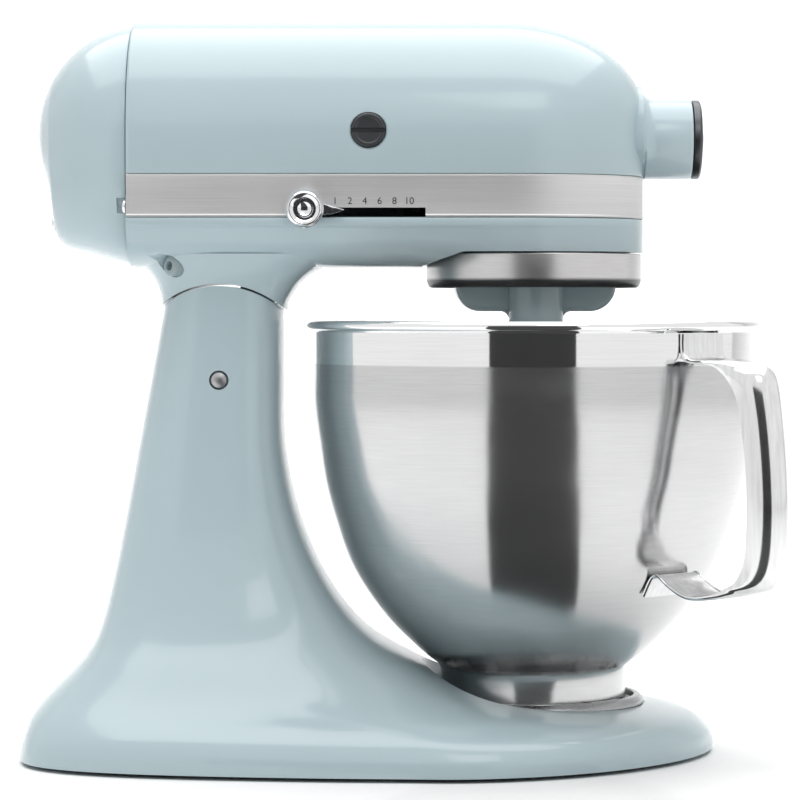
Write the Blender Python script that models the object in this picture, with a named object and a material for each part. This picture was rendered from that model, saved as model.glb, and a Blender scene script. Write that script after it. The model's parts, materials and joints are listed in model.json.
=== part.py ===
"""A tilt-head stand mixer, built piece by piece.

Every length below is in millimetres; the last step turns the finished shapes into metres.
+X points to the mixer's front, +Z up, and the origin is on the table under its middle.
"""

import math

import bmesh
import bpy
from mathutils import Matrix, Vector

MM = 0.001
GAP = 0.3                 # clearance between pieces that touch

# Bowl, planetary and the vertical drive share one axis
BOWL_X = 65.0
RIM_R, RIM_Z = 111.1, 209.5
BOWL_WALL = 1.1

# Hinge of the head
PIN_X, PIN_Z, PIN_R = -86.0, 181.0, 4.3
KNUCKLE_R = 44.7          # rounded top of the column, about the pin
NECK_R = 45.7             # matching hollow under the head
LUG_HALF = 24.0           # hinge lug, half its width
COLUMN_HALF = 37.6        # column at the pin, half its width

# Head
HEAD_REAR_X = -128.5
HEAD_HALF = 56.0
HEAD_WALL = 4.0
NOSE_X, NOSE_A = 46.8, 71.0       # where the nose starts to round, and its length
NOSE_POWER = 2.25
TOP_Z = 353.6
AXIS_Z = 298.0            # motor axis
CROWN_RISE = 11.4         # the side's rounding starts this much higher at the nose
BAND_LOW_Z, BAND_TOP_Z = 258.0, 278.0
BAND_SEAT = 1.4           # depth of the seat that the trim band lies in
SEAM_Z = 268.2            # where the two housings meet, behind the band
BELLY_Z = 235.0
POCKET_R, POCKET_Z = 54.3, 242.0  # hollow round the drip ring
RING_R = 52.0             # drip ring

# Attachment hub
HUB_Z, HUB_R, HUB_FRONT_X, HUB_BORE_R = 296.8, 19.2, 141.2, 14.0

# Speed lever
LEVER_X, LEVER_Z = -44.5, 261.3

# Head lock, on the far side of the neck
LOCK_X, LOCK_Z, LOCK_TRAVEL = -62.0, 247.0, 18.0

# Screws at the trim band's rear ends
BAND_SCREW_Y, BAND_SCREW_Z = 50.6, 263.0
SLOT_REAR_X, SLOT_FRONT_X, SLOT_HALF = -38.0, 12.0, 2.2

# The cord's way in, on the neck's rear corner, square to the surface there
GLAND_PLACE = Matrix.Translation((-112.8, -41.5, 235.4)) @ Matrix.Rotation(math.radians(222), 4, "Z")

# Motor and drive
BRUSH_X, BRUSH_Z = -14.8, 298.5
CAP_R = 8.1
SHAFT_R = 4.0
WORM_R, WORM_CORE_R, WHEEL_TEETH, WHEEL_MODULE = 9.0, 6.2, 16, 2.0
WHEEL_Y = 24.0
CENTRE_TEETH, PINION_TEETH, CENTRE_MODULE = 32, 8, 2.5
CENTRE_SPACING = 50.2
WHEEL_X = BOWL_X - math.sqrt(CENTRE_SPACING ** 2 - WHEEL_Y ** 2)
FACE_TEETH, HUB_TEETH, HUB_MODULE = 24, 12, 2.0
RING_TEETH, PLANET_TEETH, RING_MODULE = 36, 12, 2.125
OFFSET = (RING_TEETH - PLANET_TEETH) * RING_MODULE / 2   # agitator from the centre

# Base
BASE_Z = 2.0              # the casting's rim, above the table
PAD_Z, PAD_R = 23.0, 54.3 # flat seat of the clamp plate
PLATE_R, PLATE_TOP_Z = 53.5, 28.0
FEET = ((-150, -58), (-150, 58), (20, -88), (20, 88), (130, 0))
BASE_WALL = 4.5

HANDLE_ANGLE = math.radians(-46.4)

PAINT = ("paint", (0.47, 0.60, 0.63), 0.18, 0.0)
BRUSHED = ("brushed_steel", (0.50, 0.50, 0.50), 0.35, 1.0)
POLISHED = ("polished_steel", (0.72, 0.72, 0.72), 0.16, 1.0)
CHROME = ("chrome", (0.80, 0.80, 0.82), 0.05, 1.0)
DARK_METAL = ("dark_metal", (0.10, 0.11, 0.12), 0.30, 1.0)
STEEL = ("steel", (0.45, 0.45, 0.46), 0.40, 1.0)
CAST = ("cast_aluminium", (0.55, 0.56, 0.57), 0.45, 1.0)
BLACK = ("black_plastic", (0.03, 0.035, 0.04), 0.40, 0.0)
RUBBER = ("rubber", (0.05, 0.05, 0.05), 0.80, 0.0)
BRONZE = ("bronze", (0.55, 0.38, 0.18), 0.40, 1.0)
COPPER = ("copper", (0.70, 0.36, 0.22), 0.35, 1.0)
LAMINATION = ("lamination", (0.24, 0.24, 0.26), 0.50, 1.0)
CARBON = ("carbon", (0.04, 0.04, 0.04), 0.60, 0.0)
NYLON = ("nylon", (0.85, 0.84, 0.78), 0.45, 0.0)
BOARD = ("board", (0.08, 0.25, 0.12), 0.55, 0.0)
COATING = ("beater_coating", (0.80, 0.80, 0.79), 0.35, 0.0)


# ---------------------------------------------------------------- shape helpers

def finish_material(finish):
    name, colour, roughness, metallic = finish
    material = bpy.data.materials.get(name)
    if material is None:
        material = bpy.data.materials.new(name)
        material.use_nodes = True
        shader = material.node_tree.nodes["Principled BSDF"]
        shader.inputs["Base Color"].default_value = (*colour, 1.0)
        shader.inputs["Roughness"].default_value = roughness
        shader.inputs["Metallic"].default_value = metallic
    return material


def make(name, shape, finish=None):
    """An object from (points in mm, faces). Without a finish it is a tool for cutting or joining."""
    points, faces = shape
    mesh = bpy.data.meshes.new(name)
    mesh.from_pydata([Vector(p) for p in points], [], faces)
    work = bmesh.new()
    work.from_mesh(mesh)
    bmesh.ops.remove_doubles(work, verts=work.verts, dist=1e-4)
    bmesh.ops.dissolve_degenerate(work, edges=work.edges, dist=1e-4)
    bmesh.ops.recalc_face_normals(work, faces=work.faces)
    work.to_mesh(mesh)
    work.free()
    thing = bpy.data.objects.new(name, mesh)
    bpy.context.scene.collection.objects.link(thing)
    if finish:
        mesh.materials.append(finish_material(finish))
        mesh.shade_smooth()
        mesh.set_sharp_from_angle(angle=math.radians(35))
    return thing


def is_closed(mesh):
    work = bmesh.new()
    work.from_mesh(mesh)
    closed = all(len(edge.link_faces) == 2 for edge in work.edges)
    work.free()
    return closed


def boolean(thing, operation, tool):
    """Join or cut thing with the tool, and remove the tool. Where the EXACT solver leaves an
    open edge, MANIFOLD takes its place."""
    modifier = thing.modifiers.new(operation, "BOOLEAN")
    modifier.operation = operation
    modifier.object = tool
    for solver in ("EXACT", "MANIFOLD"):
        modifier.solver = solver
        evaluated = thing.evaluated_get(bpy.context.evaluated_depsgraph_get())
        mesh = bpy.data.meshes.new_from_object(evaluated)
        if is_closed(mesh):
            break
    thing.modifiers.clear()
    mesh.name = thing.name
    thing.data = mesh
    bpy.data.objects.remove(tool)


def cut(thing, tool):
    boolean(thing, "DIFFERENCE", tool)


def join(thing, tool):
    boolean(thing, "UNION", tool)


def turned(profile, sides, axis="Z", at=(0, 0, 0)):
    """Turn a closed outline of (radius, height) points about an axis through at."""
    points, faces = [], []
    count = len(profile)
    for k in range(sides):
        angle = 2 * math.pi * k / sides
        for radius, height in profile:
            u, v = radius * math.cos(angle), radius * math.sin(angle)
            local = {"X": (height, u, v), "Y": (v, height, u), "Z": (u, v, height)}[axis]
            points.append(tuple(a + b for a, b in zip(local, at)))
    for k in range(sides):
        ahead = (k + 1) % sides
        for i in range(count):
            j = (i + 1) % count
            if profile[i][0] == 0 and profile[j][0] == 0:
                continue
            faces.append((k * count + i, ahead * count + i, ahead * count + j, k * count + j))
    return points, faces


def rod(radius, low, high, sides=20, axis="Z", at=(0, 0, 0), bevel=0.0):
    profile = [(0, low), (radius - bevel, low), (radius, low + bevel),
               (radius, high - bevel), (radius - bevel, high), (0, high)]
    if not bevel:
        profile = [(0, low), (radius, low), (radius, high), (0, high)]
    return turned(profile, sides, axis, at)


def ring(outer, inner, low, high, sides=24, axis="Z", at=(0, 0, 0)):
    return turned([(inner, low), (outer, low), (outer, high), (inner, high)], sides, axis, at)


def box(low, high):
    points = [(x, y, z) for x in (low[0], high[0]) for y in (low[1], high[1]) for z in (low[2], high[2])]
    faces = [(0, 1, 3, 2), (4, 6, 7, 5), (0, 4, 5, 1), (2, 3, 7, 6), (0, 2, 6, 4), (1, 5, 7, 3)]
    return points, faces


def prism(outline, low, high, axis="Z"):
    """A flat outline pushed out along an axis. Outline points are (y, z), (x, z) or (x, y)."""
    place = {"X": lambda u, v, w: (w, u, v), "Y": lambda u, v, w: (u, w, v), "Z": lambda u, v, w: (u, v, w)}
    count = len(outline)
    points = [place[axis](u, v, w) for w in (low, high) for u, v in outline]
    faces = [tuple(range(count)), tuple(range(2 * count - 1, count - 1, -1))]
    faces += [(i, (i + 1) % count, count + (i + 1) % count, count + i) for i in range(count)]
    return points, faces


def loft(rings):
    """A solid through rings of the same number of points, with flat ends."""
    count = len(rings[0])
    points = [p for r in rings for p in r]
    last = (len(rings) - 1) * count
    faces = [tuple(range(count)), tuple(range(last, last + count))]
    for k in range(len(rings) - 1):
        for i in range(count):
            j = (i + 1) % count
            faces.append((k * count + i, k * count + j, (k + 1) * count + j, (k + 1) * count + i))
    return points, faces


def arc(centre, radius, start, end, steps):
    """Points on an arc, angles in degrees."""
    turn = [math.radians(start + (end - start) * k / steps) for k in range(steps + 1)]
    return [(centre[0] + radius * math.cos(a), centre[1] + radius * math.sin(a)) for a in turn]


def power(value, exponent):
    return math.copysign(abs(value) ** exponent, value)


def moved(shape, matrix):
    points, faces = shape
    return [tuple(matrix @ Vector(p)) for p in points], faces


def gear(teeth, module, low, high, bore, phase=0.0, inside=False, at=(0, 0), axis="Z"):
    """A spur gear with straight-sided teeth and backlash. inside makes an internal gear whose
    plain outer radius is bore."""
    pitch = 2 * math.pi / teeth
    radius = teeth * module / 2
    tip = radius + (-0.8 if inside else 0.8) * module
    root = radius + (1.1 if inside else -1.1) * module
    points, faces = [], []
    for k in range(teeth):
        middle = phase + k * pitch
        corners = [(bore, -0.5), (root, -0.27), (tip, -0.12), (tip, 0.12), (root, 0.27)]
        for r, share in corners:
            angle = middle + share * pitch
            u, v = r * math.cos(angle), r * math.sin(angle)
            for w in (low, high):
                points.append((at[0] + u, at[1] + v, w) if axis == "Z" else (w, at[0] + u, at[1] + v))
    size = 10
    for k in range(teeth):
        a, b = k * size, ((k + 1) % teeth) * size
        for side in (0, 1):
            faces.append((a + side, *(a + 2 * i + side for i in (1, 2, 3, 4)), b + side))
            faces.append((a + 8 + side, b + 2 + side, b + side))
        for i in (1, 2, 3):
            faces.append((a + 2 * i, a + 2 * i + 1, a + 2 * i + 3, a + 2 * i + 2))
        faces.append((a + 8, a + 9, b + 3, b + 2))
        faces.append((a, a + 1, b + 1, b))
    return points, faces


# ---------------------------------------------------------------- pedestal and base

# Down the pedestal: (x in front, its height), (half-width, its height), (x behind, its height),
# and the x at which the section is widest.
PEDESTAL = (
    ((-56.5, 228), (37.0, 228), (-111.5, 228), -86),
    ((-56.5, 190), (37.6, 190), (-118.4, 190), -86),
    ((-55.8, 150), (39.0, 150), (-125.9, 150), -86),
    ((-48.7, 115), (43.0, 115), (-132.3, 115), -86),
    ((-35.0, 84), (50.0, 84), (-138.5, 84), -84),
    ((-16.0, 60), (60.0, 61), (-144.8, 60), -80),
    ((8.8, 45), (72.0, 46), (-153.3, 46), -70),
    ((30.0, 36), (82.0, 34.5), (-164.3, 35), -54),
    ((62.0, 28.5), (91.0, 27.5), (-171.2, 27.5), -30),
    ((105.0, 25.0), (100.0, 22.0), (-176.0, 20.6), 0),
    ((137.0, 20.5), (107.0, 16.5), (-178.8, 13.1), 15),
    ((149.0, 13.0), (110.6, 10.0), (-180.2, 7.0), 21),
    ((152.2, 6.5), (111.5, 5.0), (-180.6, 4.0), 22.5),
    ((152.4, BASE_Z), (111.6, BASE_Z), (-180.7, BASE_Z), 22.5),
)


def pedestal_ring(level, inward=0.0, lower=0.0, sides=36):
    """One ring of the pedestal's surface. inward and lower give the hollow's surface."""
    (front, front_z), (half, half_z), (rear, rear_z), middle = PEDESTAL[level]
    spread = level / (len(PEDESTAL) - 1)
    spread = spread * spread * (3 - 2 * spread)      # 0 on the column, 1 at the base's rim
    front, half, rear = front - inward, half - inward, rear + inward
    points = []
    for k in range(sides):
        turn = 2 * math.pi * (k + 0.5) / sides
        ahead = math.cos(turn) > 0
        exponent = 3.2 - 1.4 * spread if ahead else 3.2 + 2.4 * spread
        along, across = power(math.cos(turn), 2 / exponent), power(math.sin(turn), 2 / exponent)
        reach = front - middle if ahead else middle - rear
        width = half * (1 if ahead else 1 - 0.2 * spread * abs(along) ** 1.5)
        end_z = front_z if ahead else rear_z
        height = half_z + (end_z - half_z) * math.cos(turn) ** 2
        points.append((middle + reach * along, width * across, height - lower))
    return points


def pedestal():
    casting = make("pedestal", loft([pedestal_ring(k) for k in range(len(PEDESTAL))]), PAINT)
    levels = (2, 4, 5, 6, 7, 8, 9, 10, 12)
    hollow_rings = [pedestal_ring(k, BASE_WALL, BASE_WALL, 24) for k in levels]
    hollow_rings += [[(x, y, BASE_Z - 1) for x, y, z in hollow_rings[-1]]]
    hollow = make("hollow", loft(hollow_rings))
    cut(hollow, make("seat", rod(PAD_R + 4, PAD_Z - 4.2, 100, 32, at=(BOWL_X, 0, 0))))
    for x, y in FEET:
        cut(hollow, make("post", rod(12, 4, 60, 12, at=(x, y, 0))))
    cut(casting, hollow)
    cut(casting, make("seat", rod(PAD_R, PAD_Z, 90, 40, at=(BOWL_X, 0, 0))))

    # Rounded top about the hinge pin, and the slot for the head's lug
    above = make("above", box((-150, -60, PIN_Z), (-30, 60, 260)))
    cut(above, make("knuckle", rod(KNUCKLE_R, -70, 70, 72, "Y", (PIN_X, 0, PIN_Z))))
    cut(casting, above)
    slot = box((-110.3, -LUG_HALF - 0.6, PIN_Z - 15), (-59.9, LUG_HALF + 0.6, 250))
    cut(casting, make("slot", slot))
    cut(casting, make("pin_bore", rod(PIN_R + GAP, -50, 50, 24, "Y", (PIN_X, 0, PIN_Z))))
    cut(casting, make("set_bore", rod(2.9, -130, PIN_X, 16, "X", (0, 31, PIN_Z))))
    cut(casting, make("stop_bore", rod(2.9, 198, 240, 16, at=(-70, 31, 0))))
    for x, y in FEET:
        cut(casting, make("foot_bore", rod(3.5, 3, 11, 12, at=(x, y, 0))))
    for x, y in plate_screw_places():
        cut(casting, make("screw_bore", rod(2.4, 10, 40, 12, at=(x, y, 0))))


def feet():
    profile = [(0, 0), (9.4, 0), (10, 0.8), (10, 3.7), (3.2, 3.7), (3.2, 9), (0, 9)]
    for number, (x, y) in enumerate(FEET, 1):
        make(f"foot_{number}", turned(profile, 12, at=(x, y, 0)), RUBBER)


def plate_screw_places():
    turns = [math.radians(90 + 120 * k) for k in range(3)]
    return [(BOWL_X + 28 * math.cos(a), 28 * math.sin(a)) for a in turns]


def sector(outer, inner, low, high, middle, half, steps=5):
    """Part of a ring, angles in degrees, about the bowl's axis."""
    outline = arc((BOWL_X, 0), outer, middle - half, middle + half, steps)
    outline += arc((BOWL_X, 0), inner, middle + half, middle - half, steps)
    return prism(outline, low, high)


TABS = 4
TAB_HALF, LUG_FOOT_HALF = 12.0, 13.5      # degrees


def clamp_plate():
    floor_z = PAD_Z + GAP
    profile = [(9, floor_z), (PLATE_R, floor_z), (PLATE_R, 25.6), (PLATE_R - 2.2, PLATE_TOP_Z),
               (49, PLATE_TOP_Z), (48.6, 24.6), (9, 24.6)]
    plate = make("bowl_clamp_plate", turned(profile, 36, at=(BOWL_X, 0, 0)), BRUSHED)
    for k in range(TABS):
        tab = sector(49.4, 46.2, 26.7, 27.8, 45 + 90 * k, TAB_HALF)
        join(plate, make("tab", tab))
    for x, y in plate_screw_places():
        cut(plate, make("screw_bore", rod(2.4, 10, 40, 12, at=(x, y, 0))))
    head = [(0, 19.6), (2, 19.6), (2, 24.9), (4, 24.9), (4, 26.2), (3.2, 27.2), (0, 27.2)]
    for number, (x, y) in enumerate(plate_screw_places(), 1):
        screw = make(f"plate_screw_{number}", turned(head, 10, at=(x, y, 0)), STEEL)
        cut(screw, make("drive", box((x - 2.4, y - 0.5, 26.4), (x + 2.4, y + 0.5, 28))))


def hinge_parts():
    end = COLUMN_HALF + 0.9
    half = [(PIN_R, end - 1.6), (PIN_R - 0.8, end - 0.5), (PIN_R - 2.2, end), (0, end + 0.1)]
    profile = [(r, -y) for r, y in reversed(half)] + half
    make("hinge_pin", turned(profile, 18, "Y", (PIN_X, 0, PIN_Z)), STEEL)
    rear, tip = -114.0, PIN_X - PIN_R - GAP
    screw = make("hinge_set_screw", rod(2.6, rear, tip, 12, "X", (0, 31, PIN_Z), 0.4), DARK_METAL)
    cut(screw, make("drive", rod(1.3, rear - 1, rear + 2.5, 6, "X", (0, 31, PIN_Z))))
    stop = make("head_stop_screw", rod(2.6, 200, 221.6, 12, at=(-70, 31, 0), bevel=0.4), DARK_METAL)
    cut(stop, make("drive", rod(1.3, 219, 225, 6, at=(-70, 31, 0))))


# ---------------------------------------------------------------- head castings

def head_columns(rear_x, nose_steps=14):
    """Stations round the head's plan: up the right side, round the nose and back."""
    straight = [rear_x, -90, -45, 0, 28, NOSE_X]
    nose = [-90 + 180 * k / nose_steps for k in range(1, nose_steps)]
    return ([("side", x, -1) for x in straight] + [("nose", math.radians(a), 0) for a in nose]
            + [("side", x, 1) for x in reversed(straight)])


def head_point(column, inset, spread, z):
    """A point of the head's wall. spread is 1 at the wall and 0 over the middle line."""
    kind, where, side = column
    if kind == "side":
        return (where, side * (HEAD_HALF - inset) * spread, z)
    along = power(math.cos(where), 2 / NOSE_POWER) * (NOSE_A - inset)
    across = power(math.sin(where), 2 / NOSE_POWER) * (HEAD_HALF - inset)
    return (NOSE_X + along * spread, across * spread, z)


def nose_share(column):
    """0 along the sides, 1 at the tip of the nose."""
    return math.cos(column[1]) ** 2 if column[0] == "nose" else 0.0


def crown_row(columns, inset, share):
    """A row of the domed top. share runs from 0 at the wall to 1 on the middle line."""
    turn = math.radians(90 * share)
    row = []
    for column in columns:
        start = AXIS_Z + CROWN_RISE * nose_share(column)
        height = start + (TOP_Z - inset - start) * math.sin(turn)
        row.append(head_point(column, inset, 0.0 if share == 1 else math.cos(turn), height))
    return row


def belly_row(columns, inset, taper, z, spread=1.0):
    """A row of the lower housing. The taper fades out towards the nose."""
    row = []
    for column in columns:
        x = column[1] if column[0] == "side" else NOSE_X
        fade = min(max((60 - x) / 60, 0), 1) if column[0] == "side" else 0.2 * (1 - nose_share(column))
        row.append(head_point(column, inset + taper * fade, spread, z))
    return row


def head_solid(rows):
    """A solid from rows of points, from the open edge to the middle line, closed by a flat cap
    over the open edge and one over the rear."""
    count = len(rows[0])
    points = [p for row in rows for p in row]
    last = len(rows) - 1
    faces = [tuple(range(count))]
    for k in range(last):
        for i in range(count - 1):
            faces.append((k * count + i, k * count + i + 1, (k + 1) * count + i + 1, (k + 1) * count + i))
    right = [k * count for k in range(last + 1)]
    left = [k * count + count - 1 for k in range(last - 1, -1, -1)]
    faces.append(tuple(right + left))
    return points, faces


def motor_housing():
    columns = head_columns(HEAD_REAR_X)
    rows = [belly_row(columns, BAND_SEAT, 0, SEAM_Z + GAP), belly_row(columns, BAND_SEAT, 0, BAND_TOP_Z + GAP),
            belly_row(columns, 0, 0, BAND_TOP_Z + GAP)]
    rows += [crown_row(columns, 0, k / 7) for k in range(8)]
    housing = make("motor_housing", head_solid(rows), PAINT)
    neck_r = HUB_Z - BAND_TOP_Z - 2 * GAP
    hub = [(0, 96), (neck_r, 96), (neck_r, 118.2), (HUB_R, 119.4), (HUB_R, HUB_FRONT_X), (0, HUB_FRONT_X)]
    join(housing, make("hub", turned(hub, 32, "X", (0, 0, HUB_Z))))

    columns = head_columns(HEAD_REAR_X - 2, 10)
    inset = HEAD_WALL
    rows = [belly_row(columns, inset + 1, 0, SEAM_Z - 3), belly_row(columns, inset + 1, 0, 280)]
    rows += [crown_row(columns, inset, k / 5) for k in range(6)]
    cut(housing, make("inside", head_solid(rows)))
    cut(housing, make("bore", rod(HUB_BORE_R, 120, 150, 24, "X", (0, 0, HUB_Z))))
    cut(housing, make("bush_bore", rod(8.4, 90, 125, 16, "X", (0, 0, HUB_Z))))
    cut(housing, make("screw_bore", rod(3.4, 8, 30, 12, "Y", (131, 0, HUB_Z))))
    cut(housing, make("cap_bore", rod(CAP_R + GAP, -70, 70, 18, "Y", (BRUSH_X, 0, BRUSH_Z))))


def neck_ring(rear, front, half, z, sides=24):
    middle, reach = (rear + front) / 2, (front - rear) / 2
    ring_points = []
    for k in range(sides):
        turn = 2 * math.pi * (k + 0.5) / sides
        along, across = power(math.cos(turn), 0.62), power(math.sin(turn), 0.62)
        ring_points.append((middle + reach * along, half * across, z))
    return ring_points


def gear_housing():
    columns = head_columns(HEAD_REAR_X)
    seat_z = BAND_LOW_Z - GAP
    rows = [belly_row(columns, BAND_SEAT, 0, SEAM_Z), belly_row(columns, BAND_SEAT, 0, seat_z),
            belly_row(columns, 0, 0, seat_z), belly_row(columns, 0, 0, 254), belly_row(columns, 0, 1.4, 253.2),
            belly_row(columns, 0, 4, 248), belly_row(columns, 0, 9, 243), belly_row(columns, 0, 17, 238.5),
            belly_row(columns, 0, 30, BELLY_Z), belly_row(columns, 0, 0, BELLY_Z, 0.0)]
    housing = make("gear_housing", head_solid(rows), PAINT)
    neck = [neck_ring(-114.9, -54.5, 37.0, 208), neck_ring(-114.9, -54.5, 37.0, 217),
            neck_ring(-115.6, -52.2, 37.6, 222), neck_ring(-117.6, -48.2, 38.6, 227.5),
            neck_ring(-121.5, -41.0, 40.5, 233), neck_ring(-127.0, -30.0, 43.5, 238),
            neck_ring(-128.2, -22.0, 45.0, 241)]
    join(housing, make("neck", loft(neck)))
    cut(housing, make("knuckle", rod(NECK_R, -60, 60, 72, "Y", (PIN_X, 0, PIN_Z))))

    # Hinge lug between the column's cheeks
    lug = arc((PIN_X, PIN_Z), 13, -200, 20, 14) + arc((PIN_X, PIN_Z), 50, 56, 76, 4)
    join(housing, make("lug", prism(lug, -LUG_HALF, LUG_HALF, "Y")))
    cut(housing, make("pin_bore", rod(PIN_R + GAP, -50, 50, 24, "Y", (PIN_X, 0, PIN_Z))))

    # Inside, leaving a floor over the planetary
    columns = head_columns(HEAD_REAR_X - 2, 10)
    rows = [belly_row(columns, 5, 0, SEAM_Z + 2), belly_row(columns, 5, 0, 252), belly_row(columns, 5, 4, 247),
            belly_row(columns, 5, 14, 242), belly_row(columns, 5, 26, 239.5),
            belly_row(columns, 5, 0, 239.5, 0.0)]
    inside = make("inside", head_solid(rows))
    cut(inside, make("floor", rod(POCKET_R + 4, 200, 248.5, 28, at=(BOWL_X, 0, 0))))
    cut(housing, inside)
    cut(housing, make("pocket", rod(POCKET_R, 200, POCKET_Z, 40, at=(BOWL_X, 0, 0))))
    step = [(10.7, 235.4), (30, POCKET_Z), (130, POCKET_Z), (130, 200), (10.7, 200)]
    cut(housing, make("step", prism(step, -70, 70, "Y")))
    cut(housing, make("gear_pocket", rod(47.5, 230, 244.6, 28, at=(BOWL_X, 0, 0))))
    cut(housing, make("shaft_bore", rod(7, 230, 260, 16, at=(BOWL_X, 0, 0))))
    cut(housing, make("spindle_bore", rod(4.4, 243, 260, 12, at=(WHEEL_X, WHEEL_Y, 0))))

    # Slots of the speed lever and of the head lock
    slot = box((SLOT_REAR_X, -70, BAND_LOW_Z - 0.1), (SLOT_FRONT_X, -40, LEVER_Z + SLOT_HALF - 0.9))
    cut(housing, make("speed_slot", slot))
    lock_slot = box((LOCK_X - 3, 42, LOCK_Z - 2), (LOCK_X + LOCK_TRAVEL + 3, 70, LOCK_Z + 2))
    cut(housing, make("lock_slot", lock_slot))
    for side in (-1, 1):
        join(housing, make("boss", rod(4.2, HEAD_REAR_X, -121.5, 12, "X", (0, side * BAND_SCREW_Y, BAND_SCREW_Z))))
        cut(housing, make("screw_bore", rod(2.4, -140, -124, 12, "X", (0, side * BAND_SCREW_Y, BAND_SCREW_Z))))
    cut(housing, make("gland_bore", moved(rod(5.5, -13, 30, 18, "X"), GLAND_PLACE)))


def end_cover():
    """The dome behind the motor: a stack of upright sections, then a second stack for its hollow."""
    sections = ((-128.8, 235.9, 1.0), (-138, 238.4, 0.985), (-148, 241.3, 0.93), (-156, 243.2, 0.84),
                (-161.5, 245.2, 0.74), (-165.2, 250, 0.66), (-166.8, 262, 0.62), (-168.8, 273, 0.53),
                (-172, 284, 0.37), (-174.3, 294, 0.16))

    def section(x, low, share, inward):
        reach = math.sqrt(max(1 - ((x + 125) / 49.8) ** 2, 0))
        top = AXIS_Z + 53.2 * reach - inward
        half = 53.2 * share - inward
        points = []
        for k in range(24):
            turn = 2 * math.pi * (k + 0.5) / 24
            upper = math.sin(turn) > 0
            exponent = 2.0 if upper else 3.0
            across = half * power(math.cos(turn), 2 / exponent)
            tall = top - AXIS_Z if upper else AXIS_Z - low - inward
            points.append((x, across, AXIS_Z + tall * power(math.sin(turn), 2 / exponent)))
        return points

    wall = 3.0
    cover = make("end_cover", loft([section(*s, 0) for s in sections]), PAINT)
    inner = [section(x, low, share, wall) for x, low, share in sections[:8]]
    inner = [[(x + (0 if k == 0 else wall * k / 8), y, z) for x, y, z in r] for k, r in enumerate(inner)]
    inner[0] = [(x + 1, y, z) for x, y, z in inner[0]]
    cut(cover, make("inside", loft(inner)))
    cut(cover, make("screw_bore", rod(2.4, -180, -155, 12, "X", (0, 0, 256))))
    for side in (-1, 1):
        cut(cover, make("notch", rod(4, -133.2, -120, 12, "X", (0, side * BAND_SCREW_Y, BAND_SCREW_Z))))


def trim_band():
    columns = head_columns(HEAD_REAR_X + 0.2)
    outer, inner = -0.1, BAND_SEAT - GAP
    rows = [[head_point(c, inset, 1, z) for c in columns]
            for inset, z in ((outer, BAND_LOW_Z), (outer, BAND_TOP_Z), (inner, BAND_TOP_Z), (inner, BAND_LOW_Z))]
    count = len(columns)
    points = [p for row in rows for p in row]
    faces = [(0, count, 2 * count, 3 * count), tuple(k * count + count - 1 for k in (3, 2, 1, 0))]
    for k in range(4):
        for i in range(count - 1):
            j = ((k + 1) % 4) * count
            faces.append((k * count + i, k * count + i + 1, j + i + 1, j + i))
    band = make("trim_band", (points, faces), BRUSHED)
    slot = box((SLOT_REAR_X, -70, BAND_LOW_Z - 2), (SLOT_FRONT_X, -40, LEVER_Z + SLOT_HALF - 1.2))
    cut(band, make("speed_slot", slot))


def fasteners():
    head = [(0, -3), (2, -3), (2, 0), (3.4, 0), (3.2, 1.2), (1.8, 2), (0, 2.2)]
    for name, y in (("band_screw_right", -BAND_SCREW_Y), ("band_screw_left", BAND_SCREW_Y)):
        profile = [(r, HEAD_REAR_X - GAP - h) for r, h in head]
        screw = make(name, turned(profile, 12, "X", (0, y, BAND_SCREW_Z)), CHROME)
        drive = box((-135, y - 2.4, BAND_SCREW_Z - 0.4), (HEAD_REAR_X - 1.8, y + 2.4, BAND_SCREW_Z + 0.4))
        cut(screw, make("drive", drive))
    profile = [(r, -167.3 - h) for r, h in [(0, -8), (2, -8), (2, 0), (3.6, 0), (3.4, 1.2), (2, 2), (0, 2.2)]]
    screw = make("end_cover_screw", turned(profile, 12, "X", (0, 0, 256)), CHROME)
    cut(screw, make("drive", box((-175, -2.6, 255.6), (-168.9, 2.6, 256.4))))
    profile = [(0, -12), (5.2, -12), (5.2, -5), (2.2, -4.2), (2.2, -8), (0, -8)]
    make("cord_gland", moved(turned(profile, 16, "X"), GLAND_PLACE), RUBBER)


# ---------------------------------------------------------------- motor

def motor():
    at = (0, 0, AXIS_Z)
    stator = [(math.cos(a) * 42, math.sin(a) * 42) for a in (math.radians(22.5 + 45 * k) for k in range(8))]
    body = make("field_stator", prism([(u, v + AXIS_Z) for u, v in stator], -76, -34, "X"), LAMINATION)
    cut(body, make("bore", rod(19.4, -80, -30, 24, "X", at)))
    make("armature_core", ring(18.4, SHAFT_R + GAP, -76, -34, 24, "X", at), LAMINATION)
    make("commutator", ring(11, SHAFT_R + GAP, -23, -7, 20, "X", at), COPPER)
    fan = make("cooling_fan", ring(10, SHAFT_R + GAP, -98, -88, 16, "X", at), NYLON)
    for k in range(8):
        turn = Matrix.Translation((-93, 0, AXIS_Z)) @ Matrix.Rotation(math.radians(45 * k), 4, "X")
        blade = moved(box((-4, -0.9, 8), (4, 0.9, 32)), turn @ Matrix.Rotation(math.radians(18), 4, "Z"))
        join(fan, make("blade", blade))
    shaft = make("motor_shaft", rod(SHAFT_R, -120, 37, 12, "X", at), STEEL)
    join(shaft, make("worm_core", rod(WORM_CORE_R, 7, 35, 12, "X", at)))
    join(shaft, make("worm_thread", worm_thread()))
    for name, low, high in (("bearing_bracket_front", -2, 2), ("bearing_bracket_rear", -116, -112)):
        profile = [(SHAFT_R + GAP, low - 3), (12, low - 3), (12, low), (46, low), (46, high), (SHAFT_R + GAP, high)]
        make(name, turned(profile, 18, "X", at), CAST)


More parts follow.
